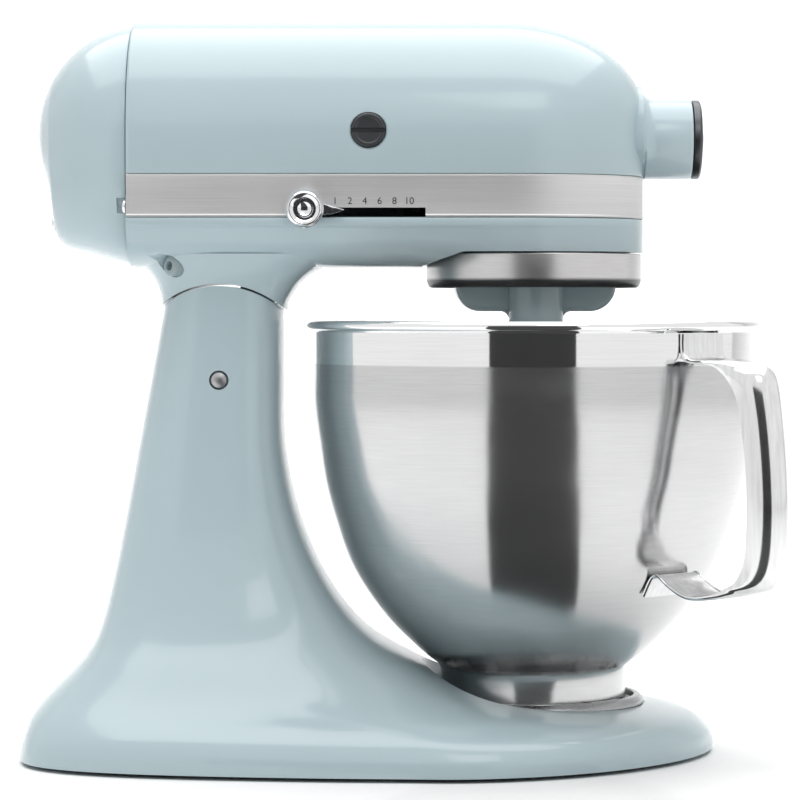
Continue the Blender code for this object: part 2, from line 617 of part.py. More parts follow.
def worm_thread():
    """A trapezoid rib wound round the worm's core."""
    lead = math.pi * WHEEL_MODULE
    per_turn, turns = 12, 3.6
    start = WHEEL_X + lead / 2 - 2 * lead
    section = ((-0.24, WORM_CORE_R - 0.6), (-0.1, WORM_R), (0.1, WORM_R), (0.24, WORM_CORE_R - 0.6))
    rings = []
    for k in range(int(per_turn * turns) + 1):
        angle = 2 * math.pi * k / per_turn
        x = start + lead * k / per_turn
        rings.append([(x + share * lead, r * math.cos(angle), AXIS_Z + r * math.sin(angle))
                      for share, r in section])
    return loft(rings)


def brushes():
    for name, side in (("right", -1), ("left", 1)):
        at = (BRUSH_X, 0, BRUSH_Z)
        cap_profile = [(0, 50.2), (5, 50.2), (5, 53), (CAP_R, 53), (CAP_R, 55.9), (CAP_R - 0.7, 56.5), (0, 56.5)]
        cap = make(f"brush_cap_{name}", turned([(r, side * y) for r, y in cap_profile], 18, "Y", at), BLACK)
        low, high = sorted((side * 54.9, side * 58))
        cut(cap, make("drive", box((BRUSH_X - 10, low, BRUSH_Z - 1.05), (BRUSH_X + 10, high, BRUSH_Z + 1.05))))
        low, high = sorted((side * 13, side * 49.8))
        make(f"brush_holder_{name}", ring(6.6, 5.2, low, high, 16, "Y", at), BLACK)
        low, high = sorted((side * 11.6, side * 32))
        carbon = box((BRUSH_X - 3.2, low, BRUSH_Z - 2.5), (BRUSH_X + 3.2, high, BRUSH_Z + 2.5))
        make(f"carbon_brush_{name}", carbon, CARBON)


def controls():
    plate = make("control_plate", ring(34, 10, -124.5, -122.5, 20, "X", (0, 0, AXIS_Z)), NYLON)
    join(plate, make("arm", box((-124.5, -47, 266), (-122.5, -28, 282))))
    make("phase_board", box((-146, -30, 268), (-144.4, 30, 322)), BOARD)


# ---------------------------------------------------------------- drive

def drive():
    wheel_at = (WHEEL_X, WHEEL_Y)
    tooth_down = -math.pi / 2
    make("worm_wheel", gear(WHEEL_TEETH, WHEEL_MODULE, 294, 302, 4.3, tooth_down, at=wheel_at), BRONZE)
    towards = math.atan2(WHEEL_Y, WHEEL_X - BOWL_X)
    spindle = make("pinion_shaft", rod(4, 244.6, 310, 16, at=(*wheel_at, 0)), STEEL)
    pinion = gear(PINION_TEETH, CENTRE_MODULE, 262, 272, 2, towards + math.pi, at=wheel_at)
    join(spindle, make("pinion", pinion))
    centre_phase = towards + math.pi / CENTRE_TEETH
    centre = (BOWL_X, 0)
    make("centre_gear", gear(CENTRE_TEETH, CENTRE_MODULE, 263, 271, 6.3, centre_phase, at=centre), STEEL)
    make("centre_shaft", rod(6, 221, 288, 20, at=(BOWL_X, 0, 0), bevel=0.6), STEEL)

    # Face gear: a disc with upright teeth, driving the pinion of the hub shaft
    face = make("face_gear", ring(28, 6.3, 271.4, 282.4, 24, at=(BOWL_X, 0, 0)), STEEL)
    for k in range(FACE_TEETH):
        tooth = prism([(-1.5, 281.5), (1.5, 281.5), (0.7, 286.2), (-0.7, 286.2)], 19, 27.4, "X")
        turn = Matrix.Translation((BOWL_X, 0, 0)) @ Matrix.Rotation(2 * math.pi * (k + 0.5) / FACE_TEETH, 4, "Z")
        join(face, make("tooth", moved(tooth, turn)))
    shaft = make("hub_drive_shaft", rod(6, 84, 130.5, 20, "X", (0, 0, HUB_Z), 0.5), STEEL)
    tooth_low = -math.pi / 2
    pinion = gear(HUB_TEETH, HUB_MODULE, 86.5, 91.5, 3, tooth_low, at=(0, HUB_Z), axis="X")
    join(shaft, make("pinion", pinion))
    cut(shaft, make("socket", box((122, -3, HUB_Z - 3), (135, 3, HUB_Z + 3))))
    make("hub_bush", ring(8.1, 6.3, 104, 119.5, 20, "X", (0, 0, HUB_Z)), BRONZE)

    ring_phase = -math.pi / 2 + math.pi / RING_TEETH
    gear_ring = gear(RING_TEETH, RING_MODULE, 236.4, 244.2, 43.4, ring_phase, True, centre)
    make("ring_gear", gear_ring, STEEL)
    planet = gear(PLANET_TEETH, RING_MODULE, 237, 243.4, 6.3, -math.pi / 2, at=(BOWL_X, -OFFSET))
    make("planet_pinion", planet, STEEL)


def planetary():
    at = (BOWL_X, 0, 0)
    cup = [(6.3, 225.3), (44.6, 225.3), (46, 226.7), (46, 243.4), (44, 243.4), (44, 227), (9.5, 227),
           (9.5, 242.6), (6.3, 242.6)]
    housing = make("planetary_housing", turned(cup, 32, at=at), PAINT)
    half, depth, bottom, corner = 38.4, 24.0, 213.7, 12.5
    wings = arc((-half + corner, bottom + corner), corner, 180, 270, 5)
    wings += arc((half - corner, bottom + corner), corner, 270, 360, 5)
    join(housing, make("wings", prism([(BOWL_X + u, v) for u, v in wings], -depth, depth, "Y")))
    boss_at = (BOWL_X, -OFFSET, 0)
    boss = [(0, 196), (12.4, 196), (13, 196.6), (13, 226.1), (0, 226.1)]
    join(housing, make("boss", turned(boss, 20, at=boss_at)))
    flare = make("flare", turned([(0, 209.4), (13, 209.4), (13.6, 211.6), (15.1, 213.1), (17.2, bottom), (17.2, 214.4),
                                  (0, 214.4)], 20, at=boss_at))
    cut(flare, make("front", box((BOWL_X - 30, -60, 200), (BOWL_X + 30, 0.1 - depth, 220))))
    join(housing, flare)
    cut(housing, make("shaft_bore", rod(6.3, 190, 240, 20, at=(BOWL_X, -OFFSET, 0))))
    cut(housing, make("centre_bore", rod(6.3, 200, 260, 20, at=at)))
    profile = [(46.4, 225), (49.4, 225), (RING_R, 229), (RING_R, 241.2), (RING_R - 1.6, 241.2),
               (RING_R - 1.6, 229.6), (48.8, 226.6), (46.4, 226.6)]
    make("drip_ring", turned(profile, 44, at=at), BRUSHED)


def agitator():
    at = (BOWL_X, -OFFSET, 0)
    shaft = make("agitator_shaft", rod(6, 158, 243.2, 16, at=at, bevel=0.6), STEEL)
    cut(shaft, make("pin_bore", rod(2.4, -12, 12, 12, "X", (BOWL_X, -OFFSET, 182))))
    make("agitator_pin", rod(2, -10.5, 10.5, 12, "X", (BOWL_X, -OFFSET, 182)), STEEL)

    # Flat beater: a frame with a spine and cross ribs, under a collar with a slot for the pin
    right = [(7, 158), (30, 154), (58, 146), (67, 136), (69, 124), (63, 104), (52.5, 82), (41, 67), (24, 57)]
    outline = right + [(0, 55)] + [(-u, v) for u, v in reversed(right)]
    beater = make("flat_beater", prism([(BOWL_X + u, v) for u, v in outline], -OFFSET - 4, -OFFSET + 4, "Y"), COATING)
    upper = [(5, 149), (29, 145), (53, 137), (59, 129), (60, 118), (5, 110)]
    lower = [(5, 101), (57, 109), (53.5, 100), (46, 85), (37, 73), (22, 65), (5, 64)]
    for window in (upper, lower):
        for side in (-1, 1):
            hole = prism([(BOWL_X + side * u, v) for u, v in window], -OFFSET - 8, -OFFSET + 8, "Y")
            cut(beater, make("window", hole))
    join(beater, make("collar", turned([(0, 152), (9, 152), (12, 158), (12, 188), (0, 188)], 16, at=at)))
    cut(beater, make("bore", rod(6.3, 157.6, 190, 16, at=at)))
    slot = box((BOWL_X - 20, -OFFSET - 2.4, 179.6), (BOWL_X + 20, -OFFSET + 2.4, 190))
    cut(beater, make("slot", slot))


# ---------------------------------------------------------------- bowl

BOWL_OUTSIDE = (
    (107.5, 203.8), (107.5, 168), (104.8, 146.3), (102.3, 130.7), (98.1, 115.1), (91.3, 95.6), (82.9, 80.1),
    (70.8, 64.5), (54.5, 48.9), (46.6, 42.8),
)


def bowl():
    rim = [(106.4, 204.6), (106.6, 208.4), (108.4, RIM_Z), (110.4, 209.1), (RIM_R, 207), (110.2, 204.6)]
    foot = [(44.9, 34.8), (45, 25.1), (43.8, 25.1), (43.6, 34.8), (45.0, 41.4), (30, 42.2), (0, 43.2)]
    inside = [(0, 44.4), (30, 43.6), (44.4, 44.2)]
    inside += [(r - BOWL_WALL, z + 0.6) for r, z in reversed(BOWL_OUTSIDE[1:-1])]
    profile = rim + list(BOWL_OUTSIDE) + foot + inside
    vessel = make("bowl", turned(profile, 32, at=(BOWL_X, 0, 0)), POLISHED)
    for k in range(TABS):
        lug = sector(48.0, 44.3, 25.1, 26.3, 45 + 90 * k, LUG_FOOT_HALF)
        join(vessel, make("lug", lug))


HANDLE_PATH = (
    # radius and height of the crown line, radius and height of the free edges, half width
    (109.7, 203.4, 107.9, 203.4, 14.5), (109.7, 197.0, 107.9, 197.0, 14.5), (110.5, 193.6, 109.2, 192.3, 14.5),
    (113.0, 191.9, 112.5, 190.1, 14.5), (120.0, 191.6, 119.6, 189.5, 14.2), (129.0, 191.5, 124.5, 189.2, 13.2),
    (135.8, 191.0, 128.5, 186.9, 12.0), (142.3, 190.0, 131.8, 183.4, 11.0), (147.4, 187.2, 135.2, 178.6, 10.4),
    (150.4, 180.9, 137.7, 172.2, 10.0), (153.0, 166.3, 139.8, 161.4, 9.7), (155.2, 147.3, 141.9, 146.0, 9.6),
    (156.4, 128.4, 143.0, 128.4, 9.6), (156.3, 112.0, 142.8, 112.4, 9.6), (155.4, 100.5, 141.7, 102.0, 9.6),
    (153.4, 92.6, 139.5, 95.3, 9.8), (149.6, 87.9, 136.2, 90.4, 10.4), (142.8, 85.4, 131.4, 87.6, 11.2),
    (134.3, 83.6, 127.9, 85.6, 12.4), (126.5, 82.3, 123.8, 84.2, 13.6), (115.7, 81.2, 115.6, 83.0, 14.3),
    (108.0, 82.2, 108.7, 83.9, 14.5), (99.6, 86.2, 100.6, 87.7, 14.5), (94.6, 89.6, 95.2, 91.3, 14.5),
    (92.6, 90.2, 92.4, 92.0, 14.5), (90.4, 88.4, 89.0, 89.5, 14.5), (86.2, 80.8, 84.6, 81.6, 14.5),
)


def handle():
    """A pressed channel, open towards the bowl, in an upright plane through the bowl's axis. Its
    crown is fully round in the grip. Both ends flatten out and lie against the bowl's wall."""
    sheet = 1.4
    turn = Matrix.Translation((BOWL_X, 0, 0)) @ Matrix.Rotation(HANDLE_ANGLE, 4, "Z")
    rings = []
    for radius, z, edge_radius, edge_z, half in HANDLE_PATH:
        inward = Vector((edge_radius - radius, 0, edge_z - z))
        depth = inward.length
        bend = min(half - 0.2, depth - 0.2)
        small = max(bend - sheet, 0.1)
        outer = [(half, depth)] + arc((half - bend, bend), bend, 0, -90, 4)
        inner = [(half - sheet, depth)] + arc((half - sheet - small, sheet + small), small, 0, -90, 4)
        outer = [(t, max(d, 0.0)) for t, d in outer]
        section = outer + [(-t, d) for t, d in reversed(outer)] + [(-t, d) for t, d in inner] + inner[::-1]
        ring_points = []
        for t, d in section:
            point = Vector((radius - t * t / (2 * RIM_R), t, z)) + inward * (d / depth)
            ring_points.append(tuple(turn @ point))
        rings.append(ring_points)
    make("bowl_handle", loft(rings), POLISHED)


# ---------------------------------------------------------------- levers and hub

def speed_lever():
    face = -HEAD_HALF - 0.5
    knob = [(5.2, face - 1), (7.6, face - 0.6), (9, face - 2.4), (9, face - 6.4), (7.4, face - 8.4), (5.6, face - 7.6),
            (3, face - 4.5), (0, face - 4), (0, face - 1)]
    chrome = make("speed_knob", turned(knob, 20, "Y", (LEVER_X, 0, LEVER_Z + 0.2)), CHROME)
    wedge = prism([(LEVER_X + 6, 258.4), (LEVER_X + 13, 259.2), (LEVER_X + 19, 260.9), (LEVER_X + 13, 262.6),
                   (LEVER_X + 6, 264.6)], face - 5.2, face - 0.5, "Y")
    join(chrome, make("wedge", wedge))
    lever = make("speed_lever", box((-36.6, face - 0.2, 258.9), (-32.6, -45.6, 261.9)), DARK_METAL)
    join(lever, make("tab", box((-39, -48, 257), (-32.6, -45.6, 268))))
    make("speed_link", rod(1.5, -120, -39.4, 10, "X", (0, -46.8, 264)), STEEL)


def lock_lever():
    profile = [(0, 44), (1.6, 44), (1.6, 54.8), (4.4, 54.8), (5.2, 55.6), (5.2, 61), (4.4, 62), (0, 62)]
    lever = make("head_lock_lever", turned(profile, 16, "Y", (LOCK_X, 0, LOCK_Z)), CHROME)
    join(lever, make("bolt", box((LOCK_X - 4, 40, LOCK_Z - 1), (LOCK_X + 4, 44.4, LOCK_Z + 3))))


def hub_parts():
    profile = [(0, 133.5), (13.5, 133.5), (13.7, 134), (13.7, HUB_FRONT_X + GAP), (HUB_R - 0.1, HUB_FRONT_X + GAP),
               (HUB_R - 0.1, 144.6), (18, 145.8), (6, 146.4), (5, 147), (0, 147)]
    make("hub_cover", turned(profile, 24, "X", (0, 0, HUB_Z)), DARK_METAL)
    knob = [(0, 14.6), (3, 14.6), (3, 20.6), (8.6, 20.6), (9.4, 21.6), (9.4, 32.4), (8.4, 33.6), (0, 33.6)]
    make("attachment_screw", turned(knob, 12, "Y", (131, 0, HUB_Z)), BLACK)


def main():
    for thing in list(bpy.data.objects):
        bpy.data.objects.remove(thing)
    pedestal()
    feet()
    clamp_plate()
    hinge_parts()
    motor_housing()
    gear_housing()
    end_cover()
    trim_band()
    fasteners()
    motor()
    brushes()
    controls()
    drive()
    planetary()
    agitator()
    bowl()
    handle()
    speed_lever()
    lock_lever()
    hub_parts()
    for thing in bpy.data.objects:
        thing.data.transform(Matrix.Scale(MM, 4))


main()
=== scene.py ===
"""A tilt-head stand mixer: the looks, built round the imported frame."""

import json
import math

import bmesh
import bpy
from mathutils import Matrix, Vector


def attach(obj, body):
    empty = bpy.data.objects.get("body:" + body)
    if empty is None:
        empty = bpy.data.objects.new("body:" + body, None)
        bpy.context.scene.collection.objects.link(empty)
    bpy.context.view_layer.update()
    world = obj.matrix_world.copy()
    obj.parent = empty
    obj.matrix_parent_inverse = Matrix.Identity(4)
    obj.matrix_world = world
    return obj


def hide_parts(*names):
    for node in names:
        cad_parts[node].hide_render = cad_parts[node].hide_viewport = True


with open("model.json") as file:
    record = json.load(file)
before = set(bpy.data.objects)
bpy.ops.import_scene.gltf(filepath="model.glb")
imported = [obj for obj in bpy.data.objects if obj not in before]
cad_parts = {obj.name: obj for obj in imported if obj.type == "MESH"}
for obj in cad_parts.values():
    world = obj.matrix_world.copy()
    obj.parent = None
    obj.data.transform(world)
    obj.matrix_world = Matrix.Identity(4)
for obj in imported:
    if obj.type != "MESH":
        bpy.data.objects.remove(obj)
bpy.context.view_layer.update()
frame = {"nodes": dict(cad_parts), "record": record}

MM = 0.001
GAP = 0.3

# Lengths in millimetres, in the frame's own axes
BOWL_X = 65.0
RIM_R, RIM_Z = 111.1, 209.5
BOWL_WALL = 1.1
PIN_X, PIN_Z, PIN_R = -86.0, 181.0, 4.3
KNUCKLE_R, NECK_R, LUG_HALF, COLUMN_HALF = 44.7, 45.7, 24.0, 37.6
HEAD_REAR_X, HEAD_HALF, HEAD_WALL = -128.5, 56.0, 4.0
NOSE_X, NOSE_A, NOSE_POWER = 46.8, 71.0, 2.25
TOP_Z, AXIS_Z, CROWN_RISE = 353.6, 298.0, 11.4
BAND_LOW_Z, BAND_TOP_Z, BAND_SEAT, SEAM_Z = 258.0, 278.0, 1.4, 268.2
BELLY_Z, POCKET_R, POCKET_Z = 235.0, 54.3, 242.0
HUB_Z, HUB_R, HUB_FRONT_X, HUB_BORE_R = 296.8, 19.2, 141.2, 14.0
LEVER_X, LEVER_Z = -44.5, 261.3
LOCK_X, LOCK_Z, LOCK_TRAVEL = -62.0, 247.0, 18.0
BAND_SCREW_Y, BAND_SCREW_Z = 50.6, 263.0
SLOT_REAR_X, SLOT_FRONT_X, SLOT_HALF = -38.0, 12.0, 2.2
BRUSH_X, BRUSH_Z, CAP_R = -14.8, 298.5, 8.1
WHEEL_X, WHEEL_Y = BOWL_X - math.sqrt(50.2 ** 2 - 24 ** 2), 24.0
OFFSET = 25.5
BASE_Z, PAD_Z, PAD_R, PLATE_R, PLATE_TOP_Z = 2.0, 23.0, 54.3, 53.5, 28.0
FEET = ((-150, -58), (-150, 58), (20, -88), (20, 88), (130, 0))
BASE_WALL = 4.5
HANDLE_ANGLE = math.radians(-46.4)
RING_R = 52.0
GLAND_PLACE = Matrix.Translation((-112.8, -41.5, 235.4)) @ Matrix.Rotation(math.radians(222), 4, "Z")


# ---------------------------------------------------------------- shape helpers

def make(name, shape):
    points, faces = shape
    mesh = bpy.data.meshes.new(name)
    mesh.from_pydata([Vector(p) for p in points], [], faces)
    work = bmesh.new()
    work.from_mesh(mesh)
    bmesh.ops.remove_doubles(work, verts=work.verts, dist=1e-4)
    bmesh.ops.dissolve_degenerate(work, edges=work.edges, dist=1e-4)
    bmesh.ops.recalc_face_normals(work, faces=work.faces)
    work.to_mesh(mesh)
    work.free()
    thing = bpy.data.objects.new(name, mesh)
    bpy.context.scene.collection.objects.link(thing)
    return thing


def is_closed(mesh):
    work = bmesh.new()
    work.from_mesh(mesh)
    closed = all(len(edge.link_faces) == 2 for edge in work.edges)
    work.free()
    return closed


def boolean(thing, operation, tool):
    """Join or cut with the tool. MANIFOLD takes EXACT's place where EXACT leaves an open edge."""
    modifier = thing.modifiers.new(operation, "BOOLEAN")
    modifier.operation = operation
    modifier.object = tool
    for solver in ("EXACT", "MANIFOLD"):
        modifier.solver = solver
        evaluated = thing.evaluated_get(bpy.context.evaluated_depsgraph_get())
        mesh = bpy.data.meshes.new_from_object(evaluated)
        if is_closed(mesh):
            break
    thing.modifiers.clear()
    thing.data = mesh
    bpy.data.objects.remove(tool)


def cut(thing, tool):
    boolean(thing, "DIFFERENCE", tool)


def join(thing, tool):
    boolean(thing, "UNION", tool)


def soften(thing, width, angle=42, segments=2):
    """Round the sharp edges of a finished solid."""
    work = bmesh.new()
    work.from_mesh(thing.data)
    bmesh.ops.remove_doubles(work, verts=work.verts, dist=0.01)
    bmesh.ops.dissolve_degenerate(work, edges=work.edges, dist=0.01)
    sharp = [e for e in work.edges if len(e.link_faces) == 2 and e.calc_face_angle(0) > math.radians(angle)]
    bmesh.ops.bevel(work, geom=sharp, offset=width, segments=segments, profile=0.5, affect="EDGES",
                    clamp_overlap=True)
    work.to_mesh(thing.data)
    work.free()


def fillet(outline, radius, steps=4):
    """Round every corner of a closed outline that isn't on the axis. A point may hold its own radius."""
    rounded = []
    count = len(outline)
    for k, point in enumerate(outline):
        here = Vector(point[:2])
        size = point[2] if len(point) > 2 else radius
        before, after = Vector(outline[k - 1][:2]), Vector(outline[(k + 1) % count][:2])
        to, away = before - here, after - here
        if size == 0 or here.x == 0 or to.length < 1e-6 or away.length < 1e-6:
            rounded.append(tuple(here))
            continue
        size = min(size, 0.45 * to.length, 0.45 * away.length)
        start, end = here + to.normalized() * size, here + away.normalized() * size
        for i in range(steps + 1):
            t = i / steps
            rounded.append(tuple(start * (1 - t) ** 2 + here * 2 * t * (1 - t) + end * t * t))
    return rounded


def turned(profile, sides, axis="Z", at=(0, 0, 0)):
    """Turn a closed outline of (radius, height) points about an axis through at."""
    points, faces = [], []
    count = len(profile)
    for k in range(sides):
        angle = 2 * math.pi * k / sides
        for radius, height in profile:
            u, v = radius * math.cos(angle), radius * math.sin(angle)
            local = {"X": (height, u, v), "Y": (v, height, u), "Z": (u, v, height)}[axis]
            points.append(tuple(a + b for a, b in zip(local, at)))
    for k in range(sides):
        ahead = (k + 1) % sides
        for i in range(count):
            j = (i + 1) % count
            if profile[i][0] == 0 and profile[j][0] == 0:
                continue
            faces.append((k * count + i, ahead * count + i, ahead * count + j, k * count + j))
    return points, faces


def rod(radius, low, high, sides=48, axis="Z", at=(0, 0, 0)):
    return turned([(0, low), (radius, low), (radius, high), (0, high)], sides, axis, at)


def box(low, high):
    points = [(x, y, z) for x in (low[0], high[0]) for y in (low[1], high[1]) for z in (low[2], high[2])]
    faces = [(0, 1, 3, 2), (4, 6, 7, 5), (0, 4, 5, 1), (2, 3, 7, 6), (0, 2, 6, 4), (1, 5, 7, 3)]
    return points, faces


def prism(outline, low, high, axis="Z"):
    place = {"X": lambda u, v, w: (w, u, v), "Y": lambda u, v, w: (u, w, v), "Z": lambda u, v, w: (u, v, w)}
    count = len(outline)
    points = [place[axis](u, v, w) for w in (low, high) for u, v in outline]
    faces = [tuple(range(count)), tuple(range(2 * count - 1, count - 1, -1))]
    faces += [(i, (i + 1) % count, count + (i + 1) % count, count + i) for i in range(count)]
    return points, faces


def loft(rings):
    count = len(rings[0])
    points = [p for r in rings for p in r]
    last = (len(rings) - 1) * count
    faces = [tuple(range(count)), tuple(range(last, last + count))]
    for k in range(len(rings) - 1):
        for i in range(count):
            j = (i + 1) % count
            faces.append((k * count + i, k * count + j, (k + 1) * count + j, (k + 1) * count + i))
    return points, faces


def arc(centre, radius, start, end, steps):
    turn = [math.radians(start + (end - start) * k / steps) for k in range(steps + 1)]
    return [(centre[0] + radius * math.cos(a), centre[1] + radius * math.sin(a)) for a in turn]


def moved(shape, matrix):
    points, faces = shape
    return [tuple(matrix @ Vector(p)) for p in points], faces


def smooth(rows, steps):
    """Rows of numbers with a Catmull-Rom curve through them."""
    result = []
    last = len(rows) - 1
    for k in range(last):
        a, b, c, d = rows[max(k - 1, 0)], rows[k], rows[k + 1], rows[min(k + 2, last)]
        for i in range(steps):
            t = i / steps
            result.append(tuple(0.5 * (2 * q + (r - p) * t + (2 * p - 5 * q + 4 * r - s) * t * t
                                       + (3 * q - p - 3 * r + s) * t ** 3)
                                for p, q, r, s in zip(a, b, c, d)))
    result.append(tuple(rows[-1]))
    return result


def power(value, exponent):
    return math.copysign(abs(value) ** exponent, value)


def even(points, count):
    """An open path resampled to count points, evenly spaced, without its last point."""
    lengths = [0.0]
    for a, b in zip(points, points[1:]):
        lengths.append(lengths[-1] + math.dist(a, b))
    result, k = [], 0
    for i in range(count):
        want = lengths[-1] * i / count
        while lengths[k + 1] < want:
            k += 1
        share = (want - lengths[k]) / max(lengths[k + 1] - lengths[k], 1e-9)
        result.append(tuple(p + (q - p) * share for p, q in zip(points[k], points[k + 1])))
    return result


# ---------------------------------------------------------------- materials

class Graph:
    """A material's nodes, with short names for the ones used here."""

    def __init__(self, name):
        self.material = bpy.data.materials.new(name)
        self.material.use_nodes = True
        self.tree = self.material.node_tree
        self.shader = self.tree.nodes["Principled BSDF"]
        place = self.tree.nodes.new("ShaderNodeTexCoord")
        self.position = place.outputs["Object"]

    def node(self, kind, **settings):
        made = self.tree.nodes.new(kind)
        for key, value in settings.items():
            setattr(made, key, value)
        return made

    def link(self, source, target):
        self.tree.links.new(source, target)

    def stretched(self, scale, vector=None):
        mapping = self.node("ShaderNodeMapping")
        mapping.inputs["Scale"].default_value = scale
        self.link(vector or self.position, mapping.inputs["Vector"])
        return mapping.outputs["Vector"]

    def lathe(self, centre, axis="Z"):
        """Coordinates (distance from the axis, height, a little of the angle)."""
        shift = self.node("ShaderNodeVectorMath", operation="SUBTRACT")
        self.link(self.position, shift.inputs[0])
        shift.inputs[1].default_value = centre
        parts = self.node("ShaderNodeSeparateXYZ")
        self.link(shift.outputs[0], parts.inputs[0])
        across = {"Z": ("X", "Y", "Z"), "X": ("Y", "Z", "X"), "Y": ("X", "Z", "Y")}[axis]
        flat = self.node("ShaderNodeCombineXYZ")
        self.link(parts.outputs[across[0]], flat.inputs[0])
        self.link(parts.outputs[across[1]], flat.inputs[1])
        length = self.node("ShaderNodeVectorMath", operation="LENGTH")
        self.link(flat.outputs[0], length.inputs[0])
        angle = self.node("ShaderNodeMath", operation="ARCTAN2")
        self.link(parts.outputs[across[1]], angle.inputs[0])
        self.link(parts.outputs[across[0]], angle.inputs[1])
        little = self.node("ShaderNodeMath", operation="MULTIPLY")
        self.link(angle.outputs[0], little.inputs[0])
        little.inputs[1].default_value = 0.002
        together = self.node("ShaderNodeCombineXYZ")
        self.link(length.outputs["Value"], together.inputs[0])
        self.link(parts.outputs[across[2]], together.inputs[1])
        self.link(little.outputs[0], together.inputs[2])
        return together.outputs[0]

    def noise(self, scale, vector=None, detail=3.0, rough=0.5):
        made = self.node("ShaderNodeTexNoise")
        made.inputs["Scale"].default_value = scale
        made.inputs["Detail"].default_value = detail
        made.inputs["Roughness"].default_value = rough
        self.link(vector or self.position, made.inputs["Vector"])
        return made.outputs["Fac"]

    def span(self, value, low, high, from_low=0.3, from_high=0.7):
        made = self.node("ShaderNodeMapRange")
        made.inputs["From Min"].default_value = from_low
        made.inputs["From Max"].default_value = from_high
        made.inputs["To Min"].default_value = low
        made.inputs["To Max"].default_value = high
        self.link(value, made.inputs["Value"])
        return made.outputs["Result"]

    def tint(self, value, dark, light):
        ramp = self.node("ShaderNodeValToRGB")
        ramp.color_ramp.elements[0].position = 0.3
        ramp.color_ramp.elements[1].position = 0.7
        ramp.color_ramp.elements[0].color = (*dark, 1)
        ramp.color_ramp.elements[1].color = (*light, 1)
        self.link(value, ramp.inputs["Fac"])
        return ramp.outputs["Color"]

    def bump(self, value, depth_mm, strength=1.0, below=None):
        made = self.node("ShaderNodeBump")
        made.inputs["Distance"].default_value = depth_mm * MM
        made.inputs["Strength"].default_value = strength
        self.link(value, made.inputs["Height"])
        if below:
            self.link(below, made.inputs["Normal"])
        return made.outputs["Normal"]

    def set(self, **values):
        for key, value in values.items():
            socket = self.shader.inputs[key.replace("_", " ")]
            if hasattr(value, "is_output"):
                self.link(value, socket)
            elif isinstance(value, tuple):
                socket.default_value = (*value, 1)
            else:
                socket.default_value = value
        return self.material


def scaled(colour, factor):
    return tuple(min(c * factor, 1.0) for c in colour)


def enamel(name, colour):
    """Glossy baked enamel: a faint orange peel under a clear surface."""
    g = Graph(name)
    cloud = g.noise(9, detail=4)
    peel = g.noise(420, detail=2)
    speck = g.noise(2600, detail=2)
    colours = g.tint(cloud, scaled(colour, 0.985), scaled(colour, 1.015))
    roughness = g.span(g.noise(60, detail=5), 0.20, 0.26)
    normal = g.bump(speck, 0.004, 0.35, g.bump(peel, 0.02, 0.35))
    g.shader.inputs["Coat Weight"].default_value = 0.35
    g.shader.inputs["Specular IOR Level"].default_value = 0.35
    g.shader.inputs["Coat Roughness"].default_value = 0.06
    return g.set(Base_Color=colours, Roughness=roughness, Metallic=0.0, Normal=normal)


def brushed(name, colour, stretch, roughness=(0.24, 0.36), depth=0.012, metallic=1.0):
    """Metal with fine lines: stretch is small along the lines."""
    g = Graph(name)
    lines = g.noise(1.0, g.stretched(stretch), detail=6, rough=0.65)
    wide = g.noise(26, detail=3)
    colours = g.tint(lines, scaled(colour, 0.9), scaled(colour, 1.08))
    mixed = g.node("ShaderNodeMath", operation="MULTIPLY_ADD")
    g.link(wide, mixed.inputs[0])
    mixed.inputs[1].default_value = 0.4
    g.link(g.span(lines, -0.05, 0.25, 0, 1), mixed.inputs[2])
    return g.set(Base_Color=colours, Metallic=metallic, Roughness=g.span(mixed.outputs[0], *roughness,
        0.1, 0.45),
                 Normal=g.bump(lines, depth))


def lathed(name, colour, centre, axis, roughness, depth=0.006, fine=2600):
    """Metal turned on a lathe, with fine rings about an axis through centre."""
    g = Graph(name)
    place = g.lathe(centre, axis)
    lines = g.noise(fine, place, detail=4, rough=0.6)
    wide = g.noise(40, detail=3)
    colours = g.tint(lines, scaled(colour, 0.94), scaled(colour, 1.05))
    smudge = g.span(wide, roughness[0], roughness[1])
    return g.set(Base_Color=colours, Metallic=1.0, Roughness=smudge, Normal=g.bump(lines, depth))


def plain(name, colour, roughness, metallic=0.0, grain=900, depth=0.02, vary=0.08, coat=0.0):
    """A moulded, cast or pressed surface with its grain."""
    g = Graph(name)
    fine = g.noise(grain, detail=4)
    cloud = g.noise(30, detail=4)
    colours = g.tint(cloud, scaled(colour, 1 - vary), scaled(colour, 1 + vary))
    g.shader.inputs["Coat Weight"].default_value = coat
    return g.set(Base_Color=colours, Metallic=metallic, Normal=g.bump(fine, depth),
                 Roughness=g.span(g.noise(120, detail=4), roughness * 0.85, roughness * 1.15))


